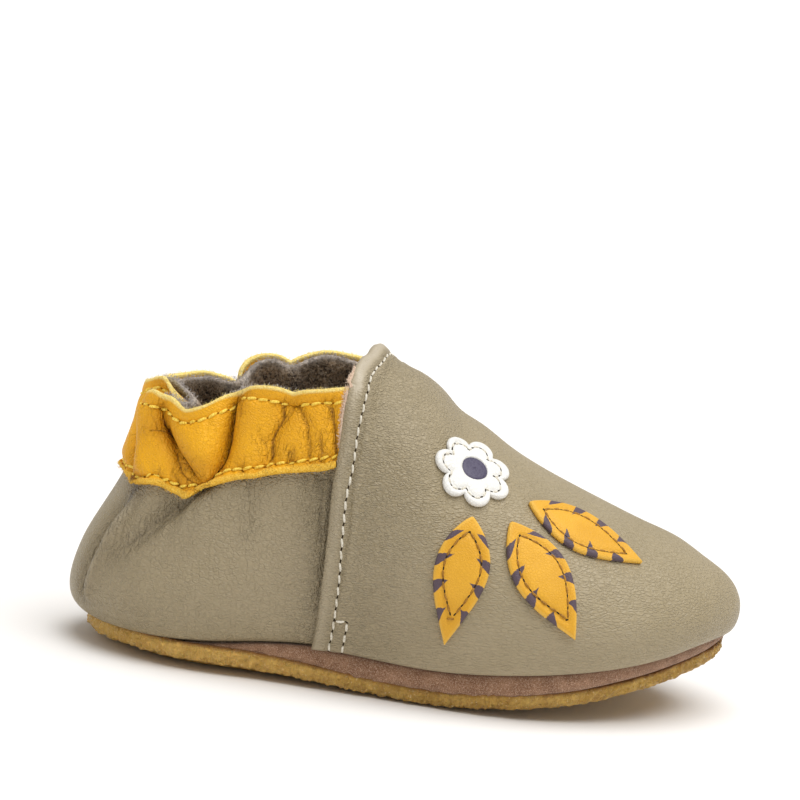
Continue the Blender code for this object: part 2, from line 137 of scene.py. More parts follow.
# Sewing and edges
HEM_STITCH = 3.4           # stitch row inside the vamp's folded edge
HEM_EASE = 3.0
HEM_PUFF = 0.22
HEM_GROOVE = 0.32
HEM_ROLL = 1.1
VAMP_FOOT_ROUND = 1.7
CROWN_FROM = 54.0          # height where the hem's crown, which faces the light, starts to get a painted highlight
CROWN_EASE = 9.0
VAMP_PULL_FROM = 4.0       # the vamp's leather is rippled from the hem on
VAMP_PULL_EASE = 28.0
GROOVE_WIDTH = 0.55
LIP_FLARE = 0.55
LIP_GROOVE = 0.40
RIM_GROOVE = 0.28
RIM_RAW = 0.45             # depth of the cut face at the cuff's rim, and at its lip
RIM_RAW_EASE = 0.5
LIP_RAW = 0.5
LIP_RAW_EASE = 0.7
CUFF_CLEAR = 0.1
CUFF_EDGE_ROUND = 0.45
LIP_STITCH = 2.1           # stitch row above the cuff's lower edge
RIM_FLARE = 0.45
RIM_STITCH = 2.8           # stitch row below the cuff's rim
CUFF_STAND = 0.25          # how far the cuff stands above the lining's rim
CUFF_STAND_LEVELS = (0.35, 0.7, 1.0)
ARCH_DROP = 2.6            # how far the wall stops below the vamp's edge over the throat
ARCH_EASE = 9.0
HEM_ENDS = 1.2             # stitches start this far from the sole
HEM_STEP = 0.25
HEM_BLUR = 60              # passes of smoothing along the hem's steps
RAW_EDGE_WIDTH = 0.36      # raw flesh edge that shows behind the vamp's hem
RAW_EDGE_LIFT = 1.2
RAW_EDGE_TUCK = 0.5
RAW_EDGE_TAPER = 4.0
RAW_EDGE_FROM = 40.0       # length along the hem from the sole
RAW_EDGE_LENGTH = 18.0
CORNER_REACH = 9.0         # round the throat's corners normals are averaged over CORNER_BLUR
CORNER_BLUR = 2.4
LEAF_STITCH = 1.7
HOLE_LENGTH = 0.8
HOLE_RADIUS = 0.2
RUN_STEP = 0.3             # half the length over which a stitch's direction is taken
SLANT_SPREAD = 0.05
FIBRE_RADIUS = 0.035
FIBRE_ROOT = 0.15          # how deep a fibre is rooted
FIBRE_ELBOW = 0.55         # share of its length where it bends
NAP_RADIUS = 0.05
NAP_FIBRES = 9000
NAP_LENGTH = 1.1
NAP_SPREAD = 0.25
NAP_TOUSLE = 0.6           # how far its fibres stray from straight out, and how far they point up
NAP_RISE = 0.4

# Patches on the vamp, laid out on a plane seen from the outer side and above
PATCH_VIEW = Vector((0.10, -0.80, 0.59)).normalized()
PATCH_AHEAD = (Vector((1.0, 0.0, 0.0)) - PATCH_VIEW * PATCH_VIEW.x).normalized()
PATCH_UP = PATCH_VIEW.cross(PATCH_AHEAD)
PATCH_FAR = 200.0
RAY_NUDGE = Vector((0.013, 0.007, 0.011))    # past an edge that a ray slipped through
Leaf = namedtuple("Leaf", "name forward rise heading length width")
LEAVES = (
    Leaf("applique_leaf_upper", 29.0, 19.5, -14.0, 25.0, 11.0),
    Leaf("applique_leaf_middle", 21.5, 7.0, -50.0, 25.0, 11.5),
    Leaf("applique_leaf_lower", 5.5, 4.5, -92.0, 22.0, 10.5),
)
LEAF_FULLNESS = 0.85
LEAF_VEINS = 5.0
VEIN_SLANT = 0.55
VEIN_WIDTH = 0.24
FLOWER_FORWARD = 5.0
FLOWER_RISE = 25.5
FLOWER_RADIUS = 8.0
FLOWER_EYE_RADIUS = 2.8
FLOWER_EYE_LAP = 0.2
FLOWER_STITCH = 1.2
FLOWER_PETALS = 7
FLOWER_NOTCH = 0.26
PETAL_ROUNDNESS = 0.7

# Crepe edge
HEEL_LIFT = 2.6
HEEL_LIFT_START = 12.0
HEEL_LIFT_EASE = 48.0
BALL_LIFT = 0.9
BALL_LIFT_X = 18.0
BALL_LIFT_REACH = 13.0
# Section of the sheet from the middle of its underside round the edge: inset, then height
CREPE_PROFILE = (
    (16.0, 0.0), (9.0, 0.0), (5.0, 0.0), (2.4, 0.0), (1.2, 0.05), (0.75, 0.3), (0.5, 0.7), (0.4, 1.1),
    (0.35, 1.5), (0.3, 1.9), (0.35, 2.3), (0.4, 2.7), (0.5, 3.0), (0.8, 3.2), (3.0, 3.2),
)
CREPE_EDGE = 1.5           # insets below this belong to the torn edge
CREPE_TOP = 3.1            # and heights from this to the upper face
CREPE_EDGE_OUT = 0.45      # share of the lift by which the edge leans out
CREPE_LIFT_INSET = 0.8     # inset from which the underside's lift fades, and over how far
CREPE_LIFT_EASE = 7.0
CREPE_FOOT_LIFT = 0.75     # share of the lift at the edge's foot
CREPE_FOOT_HEIGHT = 2.0    # height from which the edge has all of it
CREPE_LUMPS = ((2.2, 0.35, 1), (0.8, 0.4, 2))    # size, height and seed of the torn edge's lumps
CREPE_NICK_SIZE = 1.3
CREPE_NICK = 0.85
CREPE_NICK_TOP = 1.0       # nicks are in the lower corner, below this height
GLUE_FROM = 2.3
GLUE_EASE = 0.8

# Sole leather's band, from its foot to its lip
BAND_FOOT_INSET = 4.0
BAND_ROUND = 0.25
BAND_LEAN = 0.35           # how far its rounded edges draw in
BAND_CLEAR = 0.05
BAND_SHARES = (0.3, 0.55, 0.8)
BAND_SWELL = 0.22
BAND_UNEVEN = 0.12
BAND_LIFT_SHARE = 0.05     # share of the crepe's lift by which it draws in
BAND_DARK = (0.2, 1.0, 1.0, 1.0, 1.0)    # how dark the painted shade on its upper rings is, in the seam
BAND_HEEL_BARE = 0.75      # and how far that clears at the heel

# Sock's turned up rim and upper face: inset, then height
SOCK_EASE = 0.3
SOCK_RIM = ((0.0, 0.8), (0.1, 1.1), (0.4, 1.2), (0.7, 0.9))
SOCK_TOP = ((0.5, 1.3), (1.2, 1.4), (4.0, 1.3), (9.0, 1.2))
SOCK_UNEVEN = 0.12

# Camera and light
CAMERA_PITCH = math.radians(11.0)
CAMERA_ROLL = math.radians(7.5)
CAMERA_FAR = 1200.0        # millimetres
VIEW_WIDTH = 158.0         # width of the picture at the shoe, in millimetres
VIEW_MIDDLE = (-6.22, 10.2, 52.5)
FLOOR_SIZE = 8.0
SKY_STRENGTH = 0.50
SKY_COLOUR = (1.0, 0.965, 0.92)
SUN_STRENGTH = 3.0
SUN_COLOUR = (0.98, 0.99, 1.0)
SUN_SPREAD = math.radians(58.0)
SUN_FROM = (0.24, -0.14, 1.0)


def smooth_step(value):
    share = np.clip(value, 0.0, 1.0)
    return share * share * (3.0 - 2.0 * share)


def bump(distance, width):
    """Soft hill of height 1 at distance 0."""
    return np.exp(-(np.asarray(distance) / width) ** 2)


def unit(vectors):
    return vectors / np.maximum(np.linalg.norm(vectors, axis=-1, keepdims=True), 1e-12)


def ripple(place, seed, waves=5, longest=1.0):
    """Smooth seeded unevenness along a line, about -1 to 1; place is in lengths of the longest wave."""
    draw = np.random.default_rng(seed)
    total = np.zeros_like(np.asarray(place, float))
    for wave in range(waves):
        pitch = longest / (1.0 + 0.9 * wave)
        height = draw.normal()
        phase = draw.uniform(0.0, 6.3)
        total += height * np.sin(2.0 * math.pi * np.asarray(place) / pitch + phase) / (1 + wave)
    return total / 1.6


def spline(stations, values, span=None):
    """Cubic spline through values at stations, closed when span gives the loop's length."""
    stations = np.asarray(stations, float)
    values = np.asarray(values, float)
    closed = span is not None
    if closed:
        stations = np.append(stations, stations[0] + span)
        values = np.vstack([values, values[:1]])
    count = len(stations)
    step = np.diff(stations)
    slope = np.diff(values, axis=0) / step[:, None]
    matrix = np.eye(count)
    bend = np.zeros_like(values)
    for i in range(1, count - 1):
        matrix[i, i - 1:i + 2] = step[i - 1], 2.0 * (step[i - 1] + step[i]), step[i]
        bend[i] = 6.0 * (slope[i] - slope[i - 1])
    if closed:
        matrix[0, -1] = -1.0
        matrix[-1] = 0.0
        matrix[-1, [0, 1]] = 2.0 * step[0], step[0]
        matrix[-1, [-2, -1]] = step[-1], 2.0 * step[-1]
        bend[-1] = 6.0 * (slope[0] - slope[-1])
    curve = np.linalg.solve(matrix, bend)

    def at(where):
        where = np.asarray(where, float)
        i = np.clip(np.searchsorted(stations, where, side="right") - 1, 0, count - 2)
        ahead = ((where - stations[i]) / step[i])[:, None]
        back = 1.0 - ahead
        sag = (back ** 3 - back) * curve[i] + (ahead ** 3 - ahead) * curve[i + 1]
        return back * values[i] + ahead * values[i + 1] + sag * (step[i] ** 2 / 6.0)[:, None]

    return at


def lengths_along(path):
    """Length along a polyline at each of its points."""
    return np.concatenate([[0.0], np.cumsum(np.linalg.norm(np.diff(path, axis=0), axis=1))])


def path_length(path):
    return np.linalg.norm(np.diff(path, axis=0), axis=1).sum()


def along_path(path, places, carried=None):
    """Points of a polyline, or what its points carry, at lengths along it."""
    carried = path if carried is None else carried
    lengths = lengths_along(path)
    return np.stack([np.interp(places, lengths, carried[:, axis]) for axis in range(3)], axis=1)


def eased(line):
    """A line whose points are drawn towards their neighbours, with its ends kept."""
    for turn in range(HEM_BLUR):
        line[1:-1] = 0.5 * line[1:-1] + 0.25 * (line[:-2] + line[2:])
    return line


def toe_swing(x):
    """How far the shoe has bent to the inner side at x."""
    ahead = np.clip((x - THROAT_X) / (TOE_X - THROAT_X), 0.0, None)
    return TOE_SWING * ahead ** 2


def grid_normals(points):
    """Outward normals of a grid closed round its columns, averaged from its facets."""
    following = np.roll(points, -1, axis=0)
    across = following[:, 1:] - points[:, :-1]
    along = points[:, 1:] - following[:, :-1]
    facets = np.cross(across, along)
    total = np.zeros_like(points)
    for columns in (facets, np.roll(facets, 1, axis=0)):
        total[:, :-1] += columns
        total[:, 1:] += columns
    return unit(total)


def graded(length, fine, coarse, hold, ease):
    """Places from 0 to length, fine over the first hold, easing to coarse over the next stretch."""
    places = [0.0]
    while places[-1] < length:
        growth = float(smooth_step((places[-1] - hold) / ease))
        places.append(places[-1] + fine + (coarse - fine) * growth)
    places = np.array(places)
    return places * length / places[-1]


# Creases of cuff and quarter, as polylines of (girth, height): girth runs along the sole seam from the
# back of the heel, positive on the outer side; height is -1 at the seam, 0 at the cuff's lower edge and
# 1 at the rim. Depth is inward at the first point and tail at the last; edge is 2 for a soft trough and
# nearer 1 for a sharp one; furrow tells how plainly a dark line of painted shade runs along its bottom.
Crease = namedtuple("Crease", "path depth tail width edge furrow", defaults=(0.0,))
FURROW_WIDTH = 0.48
FURROW_SPREAD = 0.16       # and wider by this share of the crease's depth
FURROW_DEPTH = 0.35
FOLD_SHADE_REACH = 3.4         # the leather is painted darker round a fold as shade, fully at this depth
FOLD_SHADE_FULL = 1.8
CREST_WIDTH = 0.7          # and is painted paler along a sharp ridge, as a highlight
CREST_HIGHLIGHT = 0.8
WRINKLED_LEAST = 0.25      # how far the leather beside the faintest crease is wrinkled
WRINKLED_SPREAD = 1.2      # and over how many of its widths, and past them
WRINKLED_REACH = 0.7
FURROW_START = 0.1         # shares of a crease over which its furrow fades in and out
FURROW_STOP = 0.15
CUFF_HEIGHT = 19.0
QUARTER_HEIGHT = 30.0
CREASES = (
    # Pleat behind the outer puff, running down into the heel's valley
    Crease(((4.0, 0.9), (4.6, 0.75), (6.0, 0.56), (9.5, 0.3), (12.0, 0.06), (12.0, -0.06), (11.8, -0.12),
            (11.2, -0.23), (10.0, -0.38), (9.4, -0.55)), 5.4, 0.0, 2.1, 1.7, 0.5),
    Crease(((12.0, 0.0), (11.8, -0.12), (11.2, -0.23), (10.0, -0.38), (9.4, -0.55), (9.3, -0.68)),
           3.0, 0.9, 1.5, 1.5, 0.75),
    Crease(((14.0, 0.02), (13.7, -0.12), (13.0, -0.23), (11.8, -0.38), (11.1, -0.55), (10.9, -0.66)),
           -2.3, -0.8, 1.15, 1.7),
    Crease(((9.0, 0.8), (11.0, 0.6), (13.5, 0.32), (15.6, 0.05), (15.0, -0.05), (13.9, -0.12), (12.9, -0.23),
            (11.8, -0.36), (10.9, -0.5), (9.0, -0.66)), -1.5, -0.4, 2.6, 2.0),
    Crease(((-2.0, 0.7), (0.0, 0.2)), -0.8, 0.0, 5.0, 2.0),
    # Diagonal creases of the outer quarter under the cuff
    Crease(((29.0, 0.05), (25.6, -0.04), (23.3, -0.08), (21.0, -0.15), (18.2, -0.25), (15.4, -0.33)),
           2.2, 0.3, 2.0, 1.4, 0.36),
    Crease(((23.9, 0.08), (23.3, -0.06), (22.6, -0.11)), 1.1, 0.4, 1.2, 1.4, 0.25),
    Crease(((26.5, -0.03), (23.6, -0.13), (20.2, -0.24), (17.4, -0.36)), 0.8, 0.2, 0.7, 1.4, 0.3),
    Crease(((19.0, 0.0), (17.0, -0.14), (15.0, -0.24)), -1.0, 0.0, 3.2, 2.0),
    # Wrinkles of the outer quarter
    Crease(((53.2, -0.02), (54.2, -0.29), (54.5, -0.5), (55.0, -0.7)), 1.1, 0.5, 1.5, 1.5, 0.4),
    Crease(((51.6, -0.02), (52.4, -0.22), (53.2, -0.42)), 0.65, 0.1, 0.9, 1.4, 0.35),
    Crease(((49.4, -0.02), (50.3, -0.14), (50.9, -0.25)), 0.45, 0.0, 0.9, 1.5, 0.2),
    Crease(((40.8, 0.02), (41.4, -0.12), (41.6, -0.26)), 0.5, 0.0, 1.0, 1.5, 0.25),
    Crease(((7.0, -0.74), (15.9, -0.70), (22.2, -0.72)), 0.4, 0.0, 1.3, 2.0),
    Crease(((9.0, -0.86), (17.0, -0.82), (25.0, -0.84)), 0.3, 0.0, 1.0, 2.0),
    # Folds of the outer cuff
    Crease(((37.4, 0.93), (36.6, 0.84), (36.4, 0.73), (35.9, 0.54), (35.5, 0.35), (34.1, 0.21), (32.2, 0.04)),
           2.3, 1.4, 1.3, 1.2, 1.0),
    Crease(((39.2, 0.8), (38.2, 0.5), (36.6, 0.25)), -0.7, -0.2, 1.8, 2.0),
    Crease(((33.0, 0.85), (32.4, 0.6), (31.6, 0.3)), -1.1, -0.5, 2.4, 2.0),
    Crease(((14.6, 0.86), (16.0, 0.74), (18.6, 0.66), (23.0, 0.56), (26.2, 0.44), (29.0, 0.3), (31.0, 0.06)),
           2.0, 1.8, 1.4, 1.2, 0.9),
    Crease(((20.5, 0.85), (24.0, 0.72), (28.5, 0.5)), -1.0, -0.4, 3.0, 2.0),
    Crease(((17.0, 0.5), (21.0, 0.36), (25.0, 0.15)), -0.9, -0.5, 2.4, 2.0),
    # Wrinkles of the outer cuff
    Crease(((15.0, 0.72), (18.6, 0.78), (20.0, 0.80)), 0.5, 0.0, 0.6, 1.3, 0.5),
    Crease(((13.0, 0.62), (16.6, 0.66), (18.4, 0.60)), 0.1, 0.5, 0.6, 1.3, 0.45),
    Crease(((21.5, 0.50), (25.0, 0.34), (28.4, 0.08)), 0.3, 0.5, 0.6, 1.3, 0.45),
    Crease(((27.0, 0.46), (30.4, 0.26), (31.8, 0.06)), 0.2, 0.5, 0.5, 1.3, 0.4),
    Crease(((38.2, 0.93), (37.6, 0.8), (37.5, 0.62)), 0.4, 0.0, 0.5, 1.3, 0.5),
    Crease(((45.6, 0.86), (45.0, 0.78), (45.5, 0.66), (44.9, 0.54), (44.2, 0.42), (44.6, 0.24), (43.8, 0.08)),
           0.75, 0.6, 0.8, 1.25, 0.5),
    Crease(((47.2, 0.86), (46.6, 0.7), (45.6, 0.5)), 0.45, 0.1, 0.6, 1.3, 0.35),
    Crease(((41.6, 0.5), (43.0, 0.38), (43.4, 0.2)), 0.1, 0.45, 0.6, 1.3, 0.3),
    Crease(((47.4, 0.86), (48.4, 0.76), (49.4, 0.56), (49.9, 0.34), (50.1, 0.08)), 0.5, 0.45, 0.6, 1.25, 0.4),
    Crease(((52.3, 0.86), (52.8, 0.72), (53.5, 0.5), (54.0, 0.22), (53.6, 0.06)), 0.5, 0.7, 0.6, 1.25, 0.5),
    Crease(((51.4, 0.45), (51.8, 0.25), (51.6, 0.06)), 0.1, 0.6, 0.5, 1.3, 0.45),
    Crease(((47.0, 0.3), (47.4, 0.08)), 0.1, 0.55, 0.5, 1.3, 0.45),
    Crease(((39.8, 0.24), (39.4, 0.06)), 0.1, 0.5, 0.6, 1.3, 0.35),
    Crease(((24.0, 0.24), (25.5, 0.06)), 0.1, 0.5, 0.6, 1.3, 0.4),
    Crease(((20.0, 0.24), (20.4, 0.06)), 0.1, 0.5, 0.6, 1.3, 0.4),
    # Inner side, which the picture shows only along its rim
    Crease(((-12.0, 0.7), (-14.0, 0.4), (-12.5, 0.0), (-11.0, -0.3), (-9.5, -0.55)), 1.6, 0.0, 2.0, 1.6, 0.4),
    Crease(((-16.0, 0.6), (-15.5, 0.0), (-13.5, -0.3), (-11.0, -0.6)), -1.2, -0.3, 2.6, 2.0),
    Crease(((-35.0, 0.95), (-35.4, 0.8), (-34.8, 0.4), (-33.0, 0.04)), 2.4, 0.8, 1.4, 1.4, 0.8),
    Crease(((-24.0, 0.1), (-20.0, -0.12), (-16.5, -0.28)), 1.2, 0.0, 1.6, 1.5, 0.5),
    Crease(((-44.8, 0.9), (-44.4, 0.6), (-45.0, 0.1)), 1.0, 0.4, 1.0, 1.4, 0.4),
    Crease(((-50.6, 0.86), (-50.0, 0.5), (-50.6, 0.06)), 0.7, 0.5, 0.8, 1.4, 0.4),
    Crease(((-53.4, -0.02), (-54.3, -0.3), (-54.7, -0.6)), 0.6, 0.2, 0.9, 1.4, 0.3),
    Crease(((-41.0, 0.0), (-41.4, -0.2)), 0.4, 0.0, 1.1, 1.6),
    Crease(((-28.0, 0.6), (-27.0, 0.3), (-28.0, 0.06)), 0.3, 0.6, 0.8, 1.4, 0.4),
)

# Courses of the collar's rim, throat included, and of the cuff's lower edge, as read off the photo: the
# girth, the pixels across and down where a course passes there, and a guessed y in the shoe's frame.
Spot = namedtuple("Spot", "girth across down y")
RIM_COURSE = (
    (-138.8, 376.0, 352.6, 2.0), (-124.6, 380.0, 356.2, 5.0), (-110.3, 381.5, 358.8, 7.8),
    (-96.1, 380.5, 360.6, 10.7), (-81.9, 377.0, 361.5, 14.2), (-67.7, 370.5, 361.5, 17.5),
    (-60.3, 366.5, 362.0, 19.0), (-54.7, 363.5, 362.3, 19.9), (-52.0, 345.0, 357.0, 19.6),
    (-49.6, 324.0, 353.5, 18.9), (-46.8, 300.0, 361.0, 17.6), (-45.0, 291.0, 364.0, 16.9),
    (-42.3, 277.0, 358.5, 17.8), (-38.7, 253.0, 363.0, 16.8), (-36.3, 243.0, 374.0, 14.6),
    (-34.0, 235.5, 381.0, 13.4), (-31.5, 225.0, 379.0, 14.6), (-28.0, 212.0, 375.5, 15.2),
    (-23.0, 199.0, 375.5, 14.8), (-18.5, 187.0, 376.5, 13.8), (-14.0, 175.0, 379.0, 12.0),
    (-10.5, 164.0, 381.0, 9.6), (-7.0, 154.0, 384.0, 6.4), (-4.0, 150.5, 383.0, 3.4),
    (-1.6, 157.0, 380.0, 1.4), (0.8, 169.0, 377.5, 0.0), (2.9, 181.0, 391.0, -2.0),
    (4.6, 189.0, 401.0, -3.8), (6.4, 170.0, 400.0, -5.6), (8.2, 155.0, 397.5, -7.6),
    (10.5, 157.0, 395.5, -9.6), (14.0, 165.0, 395.0, -10.8), (18.0, 174.0, 398.0, -12.0),
    (21.5, 181.0, 405.0, -13.2), (25.0, 190.0, 412.5, -14.6), (28.0, 200.0, 411.0, -15.8),
    (31.0, 211.0, 406.0, -16.2), (34.4, 228.0, 396.0, -15.2), (37.0, 240.0, 391.0, -15.0),
    (39.3, 252.0, 388.0, -16.4), (42.1, 267.0, 387.5, -17.5), (45.0, 284.0, 390.5, -17.8),
    (46.8, 295.0, 394.5, -17.6), (48.6, 306.0, 393.0, -18.5), (51.2, 323.0, 391.0, -19.3),
    (54.7, 344.5, 390.0, -19.9), (60.0, 346.0, 385.5, -19.2), (65.3, 347.6, 381.0, -18.3),
    (72.4, 350.6, 373.5, -16.7), (79.5, 353.2, 368.5, -14.9), (86.6, 356.3, 364.0, -13.0),
    (93.7, 359.2, 360.0, -11.2), (100.8, 362.4, 357.6, -9.5), (115.1, 366.8, 351.0, -6.7),
    (129.3, 370.2, 346.6, -4.0), (143.5, 373.0, 347.0, -1.0),
)
LIP_COURSE = (
    (-54.1, 344.0, 424.0, 23.9), (-51.2, 326.0, 426.0, 23.5), (-45.0, 285.0, 433.0, 22.3),
    (-38.7, 248.0, 443.0, 21.7), (-33.0, 221.0, 453.0, 20.3), (-26.8, 191.0, 456.0, 19.7),
    (-21.1, 169.0, 461.0, 16.5), (-16.0, 149.0, 461.0, 14.2), (-10.5, 138.0, 462.0, 9.6),
    (-5.5, 129.0, 464.0, 5.0), (0.0, 126.0, 467.5, 0.0), (5.5, 129.0, 474.0, -5.0),
    (10.0, 134.0, 482.0, -9.0), (13.4, 141.0, 487.0, -12.6), (16.5, 151.0, 485.5, -15.6),
    (20.5, 165.0, 488.5, -17.2), (24.5, 181.0, 494.5, -18.6), (27.5, 194.0, 496.5, -19.8),
    (30.2, 203.0, 494.0, -20.6), (33.0, 212.0, 489.0, -21.0), (35.9, 224.0, 483.5, -21.3),
    (38.7, 238.0, 480.5, -21.7), (42.1, 258.0, 478.0, -22.0), (45.0, 275.0, 475.5, -22.4),
    (47.8, 294.0, 473.0, -23.0), (51.2, 318.0, 470.0, -23.3), (54.1, 337.0, 467.0, -23.8),
)
PHOTO_MIDDLE = 400.0       # pixels across and down
PHOTO_SCALE = 5.064        # pixels to a millimetre at the camera's aim
COURSE_DECIMALS = 1        # of the places worked out from them, in millimetres
# Height of each course, how far its pull reaches below and above it, and whether it runs all round
COURSES = ((RIM_COURSE, 1.0, 0.55, 1.0, True), (LIP_COURSE, 0.0, 0.35, 0.3, False))
COURSE_END = 57.3          # girth at the throat, where a course that isn't closed lets go
COURSE_EASE = 3.2

# Rise of the vamp's back over the plain last along x, and soft dents along lines on the toe
RIDGE = (
    (-15.0, 0.0), (-11.0, -0.5), (-8.0, 0.0), (-4.0, 1.3), (-1.0, 1.5), (2.0, 0.8), (4.5, -0.3), (7.0, -0.5),
    (10.0, -0.4), (15.0, -1.1), (20.0, -1.5), (28.0, -1.5), (38.0, -1.3), (45.0, -1.0), (52.0, -0.5),
    (57.0, -0.8), (62.0, -0.3), (66.0, 0.0),
)
RIDGE_FACING = 0.55
Dent = namedtuple("Dent", "line depth reach")
DENTS = (
    Dent(((59.4, -8.8, 22.3), (61.0, -5.8, 23.0)), 0.6, 1.9),
    Dent(((54.2, -14.4, 17.3), (56.8, -11.8, 18.7), (59.2, -8.9, 20.0)), 0.35, 2.2),
)
NORMAL_BLUR = 8            # passes of smoothing along the girth before normals are taken


# Short puckers that the elastic's two rows of stitches draw into the cuff: the row's height, the least and
# the most that a pucker reaches to, and the girth from one to the next
Pucker = namedtuple("Pucker", "row near far pitch")
PUCKERS = (Pucker(0.07, 0.16, 0.34, 2.1), Pucker(0.87, 0.80, 0.68, 4.3))
PUCKER_END = 55.0
PUCKER_STRAY = 0.3         # share of the pitch that a pucker may stray by
PUCKER_LEAN = 0.6
PUCKER_DEPTH = (0.2, 0.5)
PUCKER_WIDTH = 0.5
PUCKER_EDGE = 1.3
PUCKER_FURROW = (0.12, 0.4)


def puckers():
    """Creases for both rows, scattered about their even places."""
    draw = np.random.default_rng(41)
    found = []
    for pucker in PUCKERS:
        for girth in np.arange(-PUCKER_END, PUCKER_END, pucker.pitch):
            foot = girth + draw.uniform(-PUCKER_STRAY, PUCKER_STRAY) * pucker.pitch
            tip = foot + draw.normal(0.0, PUCKER_LEAN)
            reach = pucker.near + (pucker.far - pucker.near) * draw.uniform()
            path = ((tip, reach), (foot, pucker.row))
            depth = draw.uniform(*PUCKER_DEPTH)
            found.append(Crease(path, 0.0, depth, PUCKER_WIDTH, PUCKER_EDGE, draw.uniform(*PUCKER_FURROW)))
    return tuple(found)


def camera_axes():
    """Right, up and ahead of the camera in the shoe's frame."""
    level_up = Vector((0.0, math.sin(CAMERA_PITCH), math.cos(CAMERA_PITCH)))
    ahead = Vector((0.0, math.cos(CAMERA_PITCH), -math.sin(CAMERA_PITCH)))
    right = Vector((1.0, 0.0, 0.0)) * math.cos(CAMERA_ROLL) + level_up * math.sin(CAMERA_ROLL)
    up = level_up * math.cos(CAMERA_ROLL) - Vector((1.0, 0.0, 0.0)) * math.sin(CAMERA_ROLL)
    return right, up, ahead


def course_places(course):
    """Rows of girth, x, y and z where the camera's rays through a course's spots reach their y."""
    right, up, ahead = (np.array(axis) for axis in camera_axes())
    eye = np.array(VIEW_MIDDLE) - ahead * CAMERA_FAR
    rows = []
    for spot in (Spot(*row) for row in course):
        across = (spot.across - PHOTO_MIDDLE) / PHOTO_SCALE
        rise = (PHOTO_MIDDLE - spot.down) / PHOTO_SCALE
        ray = ahead * CAMERA_FAR + right * across + up * rise
        place = eye + ray * (spot.y - eye[1]) / ray[1]
        rows.append((spot.girth, *np.round(place, COURSE_DECIMALS)))
    return np.array(rows)


def distance_to_line(points, line):
    """Distance of points to a polyline, and how far along it the nearest place lies, from 0 to 1."""
    points = np.asarray(points, float)
    line = np.asarray(line, float)
    lengths = np.linalg.norm(np.diff(line, axis=0), axis=1)
    starts = np.concatenate([[0.0], np.cumsum(lengths)])
    best = np.full(points.shape[:-1], np.inf)
    along = np.zeros(points.shape[:-1])
    for i, length in enumerate(lengths):
        if length < 1e-9:
            continue
        step = line[i + 1] - line[i]
        share = np.clip(((points - line[i]) @ step) / length ** 2, 0.0, 1.0)
        away = np.linalg.norm(points - line[i] - share[..., None] * step, axis=-1)
        nearer = away < best
        best = np.where(nearer, away, best)
        along = np.where(nearer, starts[i] + share * length, along)
    return best, along / starts[-1]


